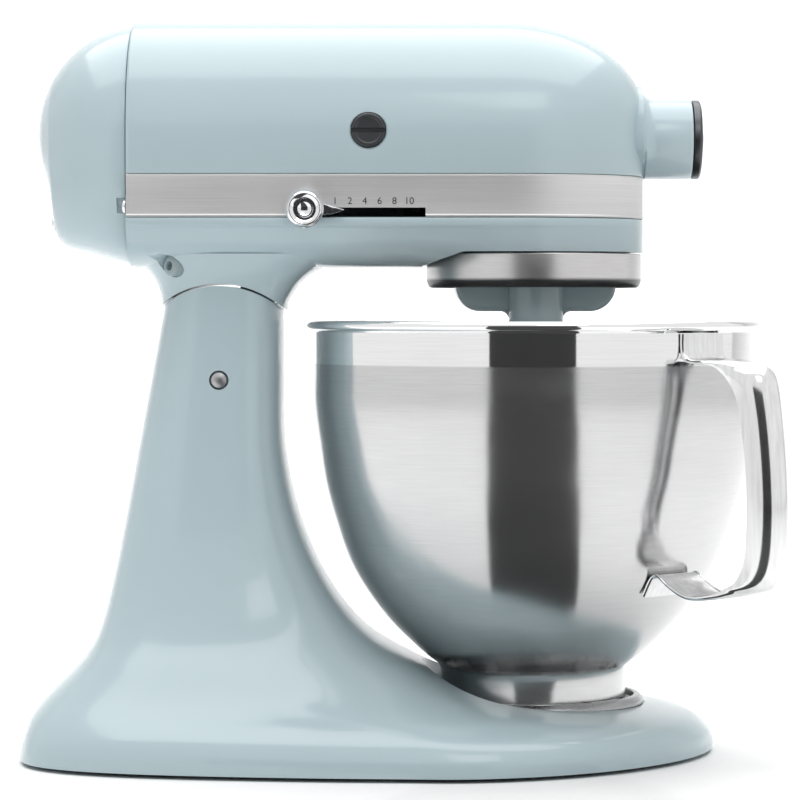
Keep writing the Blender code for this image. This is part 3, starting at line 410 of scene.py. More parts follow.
def bowl_steel():
    """Stainless steel: a mirror-bright band under the rim, satin rings below it."""
    g = Graph("bowl_steel")
    place = g.lathe((BOWL_X * MM, 0, 0), "Z")
    lines = g.noise(2200, place, detail=4, rough=0.6)
    parts = g.node("ShaderNodeSeparateXYZ")
    g.link(g.position, parts.inputs[0])
    zone = g.span(parts.outputs["Z"], 0.0, 1.0, (RIM_Z - 21.3) * MM, (RIM_Z - 20.5) * MM)
    satin = g.span(g.noise(34, detail=4), 0.16, 0.21)
    mixed = g.node("ShaderNodeMix", data_type="FLOAT")
    g.link(zone, mixed.inputs["Factor"])
    g.link(satin, mixed.inputs[2])
    mixed.inputs[3].default_value = 0.07
    depth = g.node("ShaderNodeMath", operation="MULTIPLY")
    g.link(lines, depth.inputs[0])
    g.link(g.span(zone, 1.0, 0.12, 0.0, 1.0), depth.inputs[1])
    colours = g.node("ShaderNodeMix", data_type="RGBA")
    g.link(zone, colours.inputs["Factor"])
    g.link(g.tint(lines, (0.57, 0.57, 0.575), (0.64, 0.64, 0.64)), colours.inputs[6])
    g.link(g.tint(lines, (0.82, 0.82, 0.825), (0.88, 0.88, 0.88)), colours.inputs[7])
    g.shader.inputs["Anisotropic"].default_value = 0.8
    g.shader.inputs["Anisotropic Rotation"].default_value = 0.25
    tangent = g.node("ShaderNodeTangent", direction_type="RADIAL", axis="Z")
    g.link(tangent.outputs["Tangent"], g.shader.inputs["Tangent"])
    return g.set(Base_Color=colours.outputs[2], Metallic=1.0, Roughness=mixed.outputs[0],
                 Normal=g.bump(depth.outputs[0], 0.008))


def ring_steel():
    """Fine rings round the drip ring; the rolled lower edge gets a near-black colour, a painted dark
    reflection of the bowl's shaded inside.
    """
    g = Graph("ring_steel")
    lines = g.noise(2400, g.lathe((BOWL_X * MM, 0, 0), "Z"), detail=5, rough=0.6)
    parts = g.node("ShaderNodeSeparateXYZ")
    g.link(g.position, parts.inputs[0])
    # painted dark reflection: below this height the ring's colour turns near-black, standing in for the
    # shaded bowl interior seen in the lower bend
    edge = g.span(parts.outputs["Z"], 0.0, 1.0, 0.2284, 0.2298)
    colours = g.node("ShaderNodeMix", data_type="RGBA")
    g.link(edge, colours.inputs["Factor"])
    # this near-black tint is the painted dark reflection on the ring's lower edge
    g.link(g.tint(lines, (0.075, 0.078, 0.08), (0.10, 0.10, 0.10)), colours.inputs[6])
    g.link(g.tint(lines, (0.58, 0.57, 0.57), (0.66, 0.65, 0.65)), colours.inputs[7])
    return g.set(Base_Color=colours.outputs[2], Metallic=1.0, Roughness=g.span(g.noise(40), 0.27, 0.35),
                 Normal=g.bump(lines, 0.008))


def laminated(name, colour):
    """Stacked sheets along X."""
    g = Graph(name)
    sheets = g.noise(1.0, g.stretched((2200, 4, 4)), detail=1)
    return g.set(Base_Color=g.tint(sheets, scaled(colour, 0.6), scaled(colour, 1.3)), Metallic=0.9,
                 Roughness=0.5,
                 Normal=g.bump(sheets, 0.08))


BODY = (0.445, 0.555, 0.590)
MATERIALS = {
    "body_paint": enamel("body_paint", BODY),
    "brushed_trim": brushed("brushed_trim", (0.66, 0.66, 0.66), (16, 16, 3600), (0.36, 0.48), 0.012, 0.55),
    "ring_steel": ring_steel(),
    "plate_steel": lathed("plate_steel", (0.34, 0.345, 0.35), (BOWL_X * MM, 0, 0), "Z", (0.22, 0.34)),
    "bowl_steel": bowl_steel(),
    "handle_steel": brushed("handle_steel", (0.78, 0.78, 0.785), (500, 500, 30), (0.10, 0.17), 0.003),
    "chrome": lathed("chrome", (0.80, 0.80, 0.82), (LEVER_X * MM, 0, LEVER_Z * MM), "Y", (0.05, 0.10), 0.002),
    "dark_metal": lathed("dark_metal", (0.085, 0.09, 0.095), (0, 0, HUB_Z * MM), "X", (0.26, 0.36), 0.008),
    "machined_steel": brushed("machined_steel", (0.45, 0.45, 0.46), (900, 900, 900), (0.3, 0.42), 0.006),
    "black_plastic": plain("black_plastic", (0.030, 0.034, 0.038), 0.38, grain=1500, depth=0.02),
    "grommet": plain("grommet", (0.30, 0.37, 0.39), 0.45, grain=900, depth=0.02),
    "rubber": plain("rubber", (0.035, 0.035, 0.036), 0.75, grain=1200, depth=0.05),
    "bronze": plain("bronze", (0.55, 0.38, 0.18), 0.36, 1.0, 1600, 0.01),
    "copper": brushed("copper", (0.70, 0.36, 0.22), (2600, 30, 30), (0.22, 0.36), 0.01),
    "lamination": laminated("lamination", (0.24, 0.24, 0.26)),
    "carbon": plain("carbon", (0.04, 0.04, 0.04), 0.6, grain=2500, depth=0.04),
    "nylon": plain("nylon", (0.82, 0.81, 0.75), 0.42, grain=700, depth=0.01, vary=0.03),
    "board": plain("board", (0.06, 0.22, 0.10), 0.45, grain=500, depth=0.02, vary=0.2, coat=0.4),
    "cast_aluminium": plain("cast_aluminium", (0.55, 0.56, 0.57), 0.42, 1.0, 500, 0.08),
    "beater_coating": plain("beater_coating", (0.70, 0.70, 0.69), 0.28, 0.0, 800, 0.015, 0.03, 0.3),
    "ink": plain("ink", (0.012, 0.012, 0.013), 0.5, grain=2500, depth=0.005),
    # slot_dark is painted shade: a near-black colour for surfaces inside gaps and slots, standing in for the
    # shade deep inside them
    "slot_dark": plain("slot_dark", (0.012, 0.012, 0.013), 0.6, grain=1200, depth=0.01),
}


def finish_piece(thing, material, body, nodes=(), sharp=38):
    """Scale a shape into metres, give it its material and hang it on its CAD body."""
    thing.data.transform(Matrix.Scale(MM, 4))
    thing.data.materials.clear()
    thing.data.materials.append(MATERIALS[material])
    thing.data.shade_smooth()
    thing.data.set_sharp_from_angle(angle=math.radians(sharp))
    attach(thing, body)
    if nodes:
        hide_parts(*nodes)
    return thing


# ---------------------------------------------------------------- pedestal

PEDESTAL = (
    (-56.5, 228, 37.0, 228, -111.5, 228, -86), (-56.5, 190, 37.6, 190, -118.4, 190, -86),
    (-55.8, 150, 39.0, 150, -125.9, 150, -86), (-48.7, 115, 43.0, 115, -132.3, 115, -86),
    (-35.0, 84, 50.0, 84, -138.5, 84, -84), (-16.0, 60, 60.0, 61, -144.8, 60, -80),
    (8.8, 45, 72.0, 46, -153.3, 46, -70), (30.0, 36, 82.0, 34.5, -164.3, 35, -54),
    (62.0, 28.5, 91.0, 27.5, -171.2, 27.5, -30), (105.0, 25.0, 100.0, 22.0, -176.0, 20.6, 0),
    (137.0, 20.5, 107.0, 16.5, -178.8, 13.1, 15), (149.0, 13.0, 110.6, 10.0, -180.2, 7.0, 21),
    (152.2, 6.5, 111.5, 5.0, -180.6, 4.0, 22.5), (152.4, BASE_Z, 111.6, BASE_Z, -180.7, BASE_Z, 22.5),
)


def pedestal_ring(level, inward=0.0, lower=0.0, quarter=36):
    """One ring of the pedestal's surface, at a level that may lie between two rows."""
    steps = 8
    rows = pedestal_ring.rows
    if not rows:
        rows.extend(smooth(PEDESTAL, steps))
    front, front_z, half, half_z, rear, rear_z, middle = rows[round(level * steps)]
    spread = level / (len(PEDESTAL) - 1)
    spread = spread * spread * (3 - 2 * spread)
    front, half, rear = front - inward, half - inward, rear + inward
    ring = []
    for part in range(4):
        dense = []
        for k in range(61):
            turn = math.pi / 2 * (part + k / 60)
            cosine = 0.0 if abs(math.cos(turn)) < 1e-9 else math.cos(turn)
            sine = 0.0 if abs(math.sin(turn)) < 1e-9 else math.sin(turn)
            ahead = part in (0, 3)
            exponent = 3.2 - 1.4 * spread if ahead else 3.2 + 2.4 * spread
            along, across = power(cosine, 2 / exponent), power(sine, 2 / exponent)
            reach = front - middle if ahead else middle - rear
            width = half * (1 if ahead else 1 - 0.2 * spread * abs(along) ** 1.5)
            height = half_z + ((front_z if ahead else rear_z) - half_z) * cosine ** 2
            dense.append((middle + reach * along, width * across, height - lower))
        ring += even(dense, quarter)
    return ring


pedestal_ring.rows = []


def plate_screw_places():
    turns = [math.radians(90 + 120 * k) for k in range(3)]
    return [(BOWL_X + 28 * math.cos(a), 28 * math.sin(a)) for a in turns]


def pedestal():
    last = len(PEDESTAL) - 1
    rings = [pedestal_ring(k / 4) for k in range(4 * last + 1)]
    casting = make("pedestal_casting", loft(rings))
    hollow_rings = [pedestal_ring(k / 2, BASE_WALL, BASE_WALL, 20) for k in range(4, 2 * last - 1)]
    hollow_rings += [[(x, y, BASE_Z - 1) for x, y, z in hollow_rings[-1]]]
    hollow = make("hollow", loft(hollow_rings))
    cut(hollow, make("seat", rod(PAD_R + 4, PAD_Z - 4.2, 100, 72, at=(BOWL_X, 0, 0))))
    for x, y in FEET:
        cut(hollow, make("post", rod(12, 4, 60, 40, at=(x, y, 0))))
    cut(casting, hollow)
    cut(casting, make("seat", rod(PAD_R, PAD_Z, 90, 144, at=(BOWL_X, 0, 0))))
    above = make("above", box((-150, -60, PIN_Z), (-30, 60, 260)))
    cut(above, make("knuckle", rod(KNUCKLE_R, -70, 70, 180, "Y", (PIN_X, 0, PIN_Z))))
    cut(casting, above)
    slot = box((-110.3, -LUG_HALF - 0.6, PIN_Z - 15), (-59.9, LUG_HALF + 0.6, 250))
    cut(casting, make("slot", slot))
    cut(casting, make("pin_bore", rod(PIN_R + GAP, -50, 50, 48, "Y", (PIN_X, 0, PIN_Z))))
    cut(casting, make("set_bore", rod(2.9, -130, PIN_X, 32, "X", (0, 31, PIN_Z))))
    cut(casting, make("stop_bore", rod(2.9, 198, 240, 32, at=(-70, 31, 0))))
    for x, y in FEET:
        cut(casting, make("foot_bore", rod(3.5, 3, 11, 24, at=(x, y, 0))))
    for x, y in plate_screw_places():
        cut(casting, make("screw_bore", rod(2.4, 10, 40, 24, at=(x, y, 0))))
    finish_piece(casting, "body_paint", "stand", ["pedestal"], 30)


def feet():
    profile = [(0, 0), (9.4, 0, 0.6), (10, 0.8, 0.6), (10, 3.7, 0.4), (3.2, 3.7), (3.2, 9, 0.5), (0, 9)]
    for number, (x, y) in enumerate(FEET, 1):
        foot = make(f"rubber_foot_{number}", turned(fillet(profile, 0.2), 48, at=(x, y, 0)))
        for k in range(3):
            groove = turned([(3 + 2 * k, -0.2), (3.7 + 2 * k, -0.2), (3.7 + 2 * k, 0.35),
                             (3 + 2 * k, 0.35)], 48,
                            at=(x, y, 0))
            cut(foot, make("groove", groove))
        finish_piece(foot, "rubber", "stand", [f"foot_{number}"])


def sector(outer, inner, low, high, middle, half, steps=14):
    outline = arc((BOWL_X, 0), outer, middle - half, middle + half, steps)
    outline += arc((BOWL_X, 0), inner, middle + half, middle - half, steps)
    return prism(outline, low, high)


TABS, TAB_HALF, LUG_FOOT_HALF = 4, 12.0, 13.5


def clamp_plate():
    floor_z = PAD_Z + GAP
    profile = [(9, floor_z), (PLATE_R, floor_z, 0.2), (PLATE_R, 25.6, 0.8), (PLATE_R - 2.2, PLATE_TOP_Z, 0.9),
               (49, PLATE_TOP_Z, 0.5), (48.6, 24.6, 0.4), (9, 24.6, 0.3)]
    plate = make("clamp_plate_turned", turned(fillet(profile, 0.2), 144, at=(BOWL_X, 0, 0)))
    for k in range(TABS):
        join(plate, make("tab", sector(49.4, 46.2, 26.7, 27.8, 45 + 90 * k, TAB_HALF)))
    for x, y in plate_screw_places():
        cut(plate, make("screw_bore", rod(2.4, 10, 40, 24, at=(x, y, 0))))
    finish_piece(plate, "plate_steel", "stand", ["bowl_clamp_plate"])
    head = [(0, 19.6), (2, 19.6), (2, 24.9), (4, 24.9), (4, 26.2), (3.2, 27.2), (0, 27.2)]
    for number, (x, y) in enumerate(plate_screw_places(), 1):
        screw = make(f"plate_screw_{number}_turned", turned(fillet(head, 0.3), 32, at=(x, y, 0)))
        cut(screw, make("drive", box((x - 2.4, y - 0.5, 26.4), (x + 2.4, y + 0.5, 28))))
        finish_piece(screw, "machined_steel", "stand", [f"plate_screw_{number}"])


def hinge_parts():
    end = COLUMN_HALF + 0.9
    half = [(PIN_R, end - 1.6), (PIN_R - 0.8, end - 0.5), (PIN_R - 2.2, end - 0.1), (PIN_R - 3, end + 0.05),
            (0, end + 0.1)]
    profile = [(r, -y) for r, y in reversed(half)] + half
    pin = make("hinge_pin_turned", turned(profile, 56, "Y", (PIN_X, 0, PIN_Z)))
    finish_piece(pin, "machined_steel", "stand", ["hinge_pin"])
    rear, tip = -114.0, PIN_X - PIN_R - GAP
    profile = fillet([(0, rear), (2.6, rear), (2.6, tip), (0, tip)], 0.4)
    screw = make("hinge_set_screw_turned", turned(profile, 32, "X", (0, 31, PIN_Z)))
    cut(screw, make("drive", rod(1.3, rear - 1, rear + 2.5, 6, "X", (0, 31, PIN_Z))))
    finish_piece(screw, "dark_metal", "stand", ["hinge_set_screw"])
    profile = fillet([(0, 200), (2.6, 200), (2.6, 221.6), (0, 221.6)], 0.4)
    stop = make("head_stop_screw_turned", turned(profile, 32, at=(-70, 31, 0)))
    cut(stop, make("drive", rod(1.3, 219, 225, 6, at=(-70, 31, 0))))
    finish_piece(stop, "dark_metal", "stand", ["head_stop_screw"])


# ---------------------------------------------------------------- head castings

def head_columns(rear_x, nose_steps=64, rounded_rear=False):
    """Stations round the head's plan. The third value pulls the wall in at the rounded rear edge."""
    straight = [(x, 0.0) for x in [rear_x, *range(-120, 46, 8), NOSE_X]]
    if rounded_rear:
        edge = [(rear_x + 1.6 * (1 - math.cos(a)), 1.6 * (1 - math.sin(a)))
                for a in (math.radians(18 * k) for k in range(6))]
        straight = edge + straight[1:]
    nose = [-90 + 180 * k / nose_steps for k in range(1, nose_steps)]
    return ([("side", x, -1, pull) for x, pull in straight] + [("nose", math.radians(a), 0, 0) for a in nose]
            + [("side", x, 1, pull) for x, pull in reversed(straight)])


def head_point(column, inset, spread, z):
    kind, where, side, pull = column
    if kind == "side":
        return (where, side * (HEAD_HALF - inset - pull) * spread, z)
    along = power(math.cos(where), 2 / NOSE_POWER) * (NOSE_A - inset)
    across = power(math.sin(where), 2 / NOSE_POWER) * (HEAD_HALF - inset)
    return (NOSE_X + along * spread, across * spread, z)


def nose_share(column):
    return math.cos(column[1]) ** 2 if column[0] == "nose" else 0.0


def crown_row(columns, inset, share):
    turn = math.radians(90 * share)
    row = []
    for column in columns:
        start = AXIS_Z + CROWN_RISE * nose_share(column)
        height = start + (TOP_Z - inset - column[3] - start) * math.sin(turn)
        row.append(head_point(column, inset, 0.0 if share == 1 else math.cos(turn), height))
    return row


def belly_row(columns, inset, taper, z, spread=1.0):
    row = []
    for column in columns:
        x = column[1] if column[0] == "side" else NOSE_X
        fade = min(max((60 - x) / 60, 0), 1) if column[0] == "side" else 0.2 * (1 - nose_share(column))
        row.append(head_point(column, inset + taper * fade, spread, z))
    return row


def head_solid(rows):
    count = len(rows[0])
    points = [p for row in rows for p in row]
    last = len(rows) - 1
    faces = [tuple(range(count))]
    for k in range(last):
        for i in range(count - 1):
            faces.append((k * count + i, k * count + i + 1, (k + 1) * count + i + 1, (k + 1) * count + i))
    right = [k * count for k in range(last + 1)]
    left = [k * count + count - 1 for k in range(last - 1, -1, -1)]
    faces.append(tuple(right + left))
    return points, faces


def hub_tube():
    """The hub, flaring into the nose at its root, except below, where the trim band passes."""
    rings = []
    neck_r = HUB_Z - BAND_TOP_Z - 2 * GAP
    flare, root_x = 7.0, 111.5
    stations = [(96, neck_r - 1, 0.0), (root_x, neck_r - 0.4, 1.0)]
    stations += [(root_x + flare * (1 - math.cos(a)) + 5, None, 1 - math.sin(a))
                 for a in (math.radians(90 * k / 10) for k in range(11))]
    stations += [(HUB_FRONT_X - 1.2, None, 0.0), (HUB_FRONT_X - 0.35, -0.35, 0.0), (HUB_FRONT_X, -1.2, 0.0)]
    for x, radius, share in stations:
        ring = []
        for k in range(96):
            angle = 2 * math.pi * k / 96
            up = min(max((math.sin(angle) + 0.75) / 0.6, 0), 1)
            up = up * up * (3 - 2 * up)
            base = neck_r if x < 118.3 and math.sin(angle) < -0.3 else HUB_R
            if radius is not None:
                base = radius if radius > 0 else HUB_R + radius
            reach = base + flare * share * up
            ring.append((x, reach * math.cos(angle), HUB_Z + reach * math.sin(angle)))
        rings.append(ring)
    return loft(rings)


def motor_housing():
    columns = head_columns(HEAD_REAR_X, rounded_rear=True)
    top = BAND_TOP_Z + GAP
    rows = [belly_row(columns, BAND_SEAT, 0, SEAM_Z + GAP), belly_row(columns, BAND_SEAT, 0, top),
            belly_row(columns, 0.5, 0, top), belly_row(columns, 0.14, 0, top + 0.14),
            belly_row(columns, 0, 0, top + 0.5)]
    rows += [crown_row(columns, 0, k / 28) for k in range(29)]
    housing = make("head_shell", head_solid(rows))
    join(housing, make("hub", hub_tube()))
    columns = head_columns(HEAD_REAR_X - 2, 24)
    inset = HEAD_WALL
    rows = [belly_row(columns, inset + 1, 0, SEAM_Z - 3), belly_row(columns, inset + 1, 0, 280)]
    rows += [crown_row(columns, inset, k / 8) for k in range(9)]
    cut(housing, make("inside", head_solid(rows)))
    bore = [(0, 120), (HUB_BORE_R, 120), (HUB_BORE_R, 139.6), (HUB_BORE_R + 1.2, 142), (0, 142)]
    cut(housing, make("bore", turned(bore, 64, "X", (0, 0, HUB_Z))))
    cut(housing, make("bush_bore", rod(8.4, 90, 125, 32, "X", (0, 0, HUB_Z))))
    cut(housing, make("screw_bore", rod(3.4, 8, 30, 32, "Y", (131, 0, HUB_Z))))
    for side in (-1, 1):
        opening = [(0, 40), (CAP_R + GAP, 40), (CAP_R + GAP, 55.2), (CAP_R + 1.1, 56),
                   (CAP_R + 1.1, 60), (0, 60)]
        tool = turned([(r, side * y) for r, y in opening], 72, "Y", (BRUSH_X, 0, BRUSH_Z))
        cut(housing, make("cap_bore", tool))
    finish_piece(housing, "body_paint", "head", ["motor_housing"], 32)


def neck_ring(rear, front, half, z, quarter=20):
    middle, reach = (rear + front) / 2, (front - rear) / 2
    ring = []
    for part in range(4):
        dense = []
        for k in range(41):
            turn = math.pi / 2 * (part + k / 40)
            cosine = 0.0 if abs(math.cos(turn)) < 1e-9 else math.cos(turn)
            sine = 0.0 if abs(math.sin(turn)) < 1e-9 else math.sin(turn)
            dense.append((middle + reach * power(cosine, 0.62), half * power(sine, 0.62), z))
        ring += even(dense, quarter)
    return ring


def gear_housing():
    columns = head_columns(HEAD_REAR_X)
    seat_z = BAND_LOW_Z - GAP
    levels = [(0, 0, 254.4), (0, 0.35, 253.75), (0, 1.2, 253.3), (0, 2.4, 252.2), (0, 4, 248),
              (0, 6.2, 245.2),
              (0, 9, 243), (0, 12.6, 240.6), (0, 17, 238.5), (0, 23, 236.3), (0, 30, BELLY_Z)]
    rows = [belly_row(columns, BAND_SEAT, 0, SEAM_Z), belly_row(columns, BAND_SEAT, 0, seat_z),
            belly_row(columns, 0.5, 0, seat_z), belly_row(columns, 0.14, 0, seat_z - 0.14),
            belly_row(columns, 0, 0, seat_z - 0.5)]
    rows += [belly_row(columns, *level) for level in levels]
    rows += [belly_row(columns, 0, 0, BELLY_Z, 0.0)]
    housing = make("gear_casing", head_solid(rows))
    table = [(-114.9, -54.5, 37.0, 208), (-114.9, -54.5, 37.0, 217), (-115.6, -52.2, 37.6, 222),
             (-117.6, -48.2, 38.6, 227.5), (-121.5, -41.0, 40.5, 233), (-127.0, -30.0, 43.5, 238),
             (-128.2, -22.0, 45.0, 241)]
    neck = make("neck", loft([neck_ring(*row) for row in smooth(table, 5)]))
    join(housing, neck)
    cut(housing, make("knuckle", rod(NECK_R, -60, 60, 180, "Y", (PIN_X, 0, PIN_Z))))
    lug = arc((PIN_X, PIN_Z), 13, -200, 20, 40) + arc((PIN_X, PIN_Z), 50, 56, 76, 8)
    join(housing, make("lug", prism(lug, -LUG_HALF, LUG_HALF, "Y")))
    cut(housing, make("pin_bore", rod(PIN_R + GAP, -50, 50, 48, "Y", (PIN_X, 0, PIN_Z))))
    columns = head_columns(HEAD_REAR_X - 2, 24)
    rows = [belly_row(columns, 5, 0, SEAM_Z + 2), belly_row(columns, 5, 0, 252),
            belly_row(columns, 5, 4, 247),
            belly_row(columns, 5, 14, 242), belly_row(columns, 5, 26, 239.5),
            belly_row(columns, 5, 0, 239.5, 0.0)]
    inside = make("inside", head_solid(rows))
    cut(inside, make("floor", rod(POCKET_R + 4, 200, 248.5, 72, at=(BOWL_X, 0, 0))))
    cut(housing, inside)
    cut(housing, make("pocket", rod(POCKET_R, 200, POCKET_Z, 144, at=(BOWL_X, 0, 0))))
    step = [(10.7, 235.4), (30, POCKET_Z), (130, POCKET_Z), (130, 200), (10.7, 200)]
    cut(housing, make("step", prism(step, -70, 70, "Y")))
    cut(housing, make("gear_pocket", rod(47.5, 230, 244.6, 96, at=(BOWL_X, 0, 0))))
    cut(housing, make("shaft_bore", rod(7, 230, 260, 32, at=(BOWL_X, 0, 0))))
    cut(housing, make("spindle_bore", rod(4.4, 243, 260, 24, at=(WHEEL_X, WHEEL_Y, 0))))
    slot = box((SLOT_REAR_X, -70, BAND_LOW_Z - 0.1), (SLOT_FRONT_X, -40, LEVER_Z + SLOT_HALF - 0.9))
    cut(housing, make("speed_slot", slot))
    ends = arc((LOCK_X, LOCK_Z), 2.4, 90, 270, 12) + arc((LOCK_X + LOCK_TRAVEL, LOCK_Z), 2.4, -90, 90, 12)
    cut(housing, make("lock_slot", prism(ends, 42, 70, "Y")))
    for side in (-1, 1):
        at = (0, side * BAND_SCREW_Y, BAND_SCREW_Z)
        join(housing, make("boss", rod(4.2, HEAD_REAR_X, -121.5, 32, "X", at)))
        cut(housing, make("screw_bore", rod(2.4, -140, -124, 24, "X", at)))
    cut(housing, make("gland_bore", moved(rod(5.5, -13, 30, 48, "X"), GLAND_PLACE)))
    finish_piece(housing, "body_paint", "head", ["gear_housing"], 32)


def end_cover():
    table = ((-128.8, 235.9, 1.0), (-138, 238.4, 0.985), (-148, 241.3, 0.93), (-156, 243.2, 0.84),
             (-161.5, 245.2, 0.74), (-165.2, 250, 0.66), (-166.8, 262, 0.62), (-168.8, 273, 0.53),
             (-172, 284, 0.37), (-174.3, 294, 0.16))

    def section(x, low, share, inward):
        reach = math.sqrt(max(1 - ((x + 125) / 49.8) ** 2, 0))
        top = AXIS_Z + 53.2 * reach - inward
        half = 53.2 * share - inward
        points = []
        for part in range(4):
            dense = []
            for k in range(41):
                turn = math.pi / 2 * (part + k / 40)
                cosine = 0.0 if abs(math.cos(turn)) < 1e-9 else math.cos(turn)
                sine = 0.0 if abs(math.sin(turn)) < 1e-9 else math.sin(turn)
                exponent = 2.0 if part < 2 else 3.0
                tall = top - AXIS_Z if part < 2 else AXIS_Z - low - inward
                dense.append((x, half * power(cosine, 2 / exponent),
                              AXIS_Z + tall * power(sine, 2 / exponent)))
            points += even(dense, 24)
        return points

    wall = 3.0
    rows = smooth(table, 6)
    first = section(*rows[0], 0.9)
    edge = section(rows[0][0] - 0.3, rows[0][1], rows[0][2], 0.25)
    cover = make("end_cover_shell", loft([first, edge] + [section(*s, 0) for s in rows[1:]]))
    inner = [section(x, low, share, wall) for x, low, share in table[:8]]
    inner = [[(x + (0 if k == 0 else wall * k / 8), y, z) for x, y, z in r] for k, r in enumerate(inner)]
    inner[0] = [(x + 1, y, z) for x, y, z in inner[0]]
    cut(cover, make("inside", loft(inner)))
    cut(cover, make("screw_bore", rod(2.4, -180, -155, 24, "X", (0, 0, 256))))
    for side in (-1, 1):
        at = (0, side * BAND_SCREW_Y, BAND_SCREW_Z)
        cut(cover, make("notch", rod(4, -133.2, -120, 48, "X", at)))
    finish_piece(cover, "body_paint", "head", ["end_cover"], 32)


def trim_band():
    """A brushed strip with a narrow raised bead along each edge."""
    columns = head_columns(HEAD_REAR_X + 0.2, 80)
    low, top, back = BAND_LOW_Z, BAND_TOP_Z, BAND_SEAT - GAP
    section = [(back, low), (0.2, low), (-0.08, low + 0.25), (-0.1, low + 0.9), (0.14, low + 1.3),
               (0.12, top - 1.3),
               (-0.1, top - 0.9), (-0.08, top - 0.25), (0.2, top), (back, top)]
    rows = [[head_point(c, inset, 1, z) for c in columns] for inset, z in section]
    count, levels = len(columns), len(section)
    points = [p for row in rows for p in row]
    faces = [tuple(k * count for k in range(levels)),
             tuple(k * count + count - 1 for k in reversed(range(levels)))]
    for k in range(levels):
        j = ((k + 1) % levels) * count
        for i in range(count - 1):
            faces.append((k * count + i, k * count + i + 1, j + i + 1, j + i))
    band = make("trim_strip", (points, faces))
    slot = box((SLOT_REAR_X, -70, BAND_LOW_Z - 2), (SLOT_FRONT_X, -40, LEVER_Z + SLOT_HALF - 1.2))
    cut(band, make("speed_slot", slot))
    finish_piece(band, "brushed_trim", "head", ["trim_band"], 30)


def speed_numbers():
    """Printed numbers above the slot."""
    first, pitch = -30.4, 6.95
    for k, label in enumerate(("1", "2", "4", "6", "8", "10")):
        curve = bpy.data.curves.new(f"speed_number_{label}", "FONT")
        curve.body = label
        curve.size = 4.6
        curve.align_x = "CENTER"
        curve.extrude = 0.02
        text = bpy.data.objects.new("text", curve)
        bpy.context.scene.collection.objects.link(text)
        bpy.context.view_layer.update()
        mesh = bpy.data.meshes.new_from_object(text)
        bpy.data.objects.remove(text)
        number = bpy.data.objects.new(f"speed_number_{label}", mesh)
        bpy.context.scene.collection.objects.link(number)
        place = Matrix.Translation((first + pitch * k, -HEAD_HALF + 0.1, 263.9))
        number.data.transform(place @ Matrix.Rotation(math.radians(90), 4, "X"))
        finish_piece(number, "ink", "head")


def fasteners():
    head = [(0, -3), (2, -3), (2, 0), (3.4, 0, 0.2), (3.2, 1.2, 0.5), (1.8, 2, 0.5), (0, 2.2)]
    for name, y in (("band_screw_right", -BAND_SCREW_Y), ("band_screw_left", BAND_SCREW_Y)):
        profile = [(r, HEAD_REAR_X - GAP - h) for r, h in fillet(head, 0.2)]
        screw = make(name + "_turned", turned(profile, 48, "X", (0, y, BAND_SCREW_Z)))
        drive = box((-135, y - 2.4, BAND_SCREW_Z - 0.4), (HEAD_REAR_X - 1.8, y + 2.4, BAND_SCREW_Z + 0.4))
        cut(screw, make("drive", drive))
        finish_piece(screw, "chrome", "head", [name])
    head = [(0, -8), (2, -8), (2, 0), (3.6, 0, 0.2), (3.4, 1.2, 0.5), (2, 2, 0.5), (0, 2.2)]
    profile = [(r, -167.3 - h) for r, h in fillet(head, 0.2)]
    screw = make("end_cover_screw_turned", turned(profile, 48, "X", (0, 0, 256)))
    cut(screw, make("drive", box((-175, -2.6, 255.6), (-168.9, 2.6, 256.4))))
    finish_piece(screw, "chrome", "head", ["end_cover_screw"])
    profile = [(0, -12), (5.2, -12), (5.2, -5, 1.2), (2.2, -4.2, 0.8), (2.2, -8), (0, -8)]
    gland = make("cord_gland_moulded", moved(turned(fillet(profile, 0.3), 48, "X"), GLAND_PLACE))
    finish_piece(gland, "grommet", "head", ["cord_gland"])


def brush_caps():
    for name, side in (("right", -1), ("left", 1)):
        at = (BRUSH_X, 0, BRUSH_Z)
        profile = [(0, 50.2), (5, 50.2), (5, 53), (CAP_R, 53), (CAP_R, 55.9, 0.7), (CAP_R - 0.7, 56.5, 0.5),
                   (CAP_R - 1.9, 56.5, 0.2), (CAP_R - 2.3, 56.15, 0.2), (0, 56.15)]
        cap = make(f"brush_cap_{name}_moulded", turned([(r, side * y) for r, y in fillet(profile, 0.2)],
                                                       72, "Y", at))
        low, high = sorted((side * 54.9, side * 58))
        cut(cap, make("drive", box((BRUSH_X - 10, low, BRUSH_Z - 1.05), (BRUSH_X + 10, high,
            BRUSH_Z + 1.05))))
        soften(cap, 0.15, 50, 1)
        finish_piece(cap, "black_plastic", "head", [f"brush_cap_{name}"])


# ---------------------------------------------------------------- planetary, beater

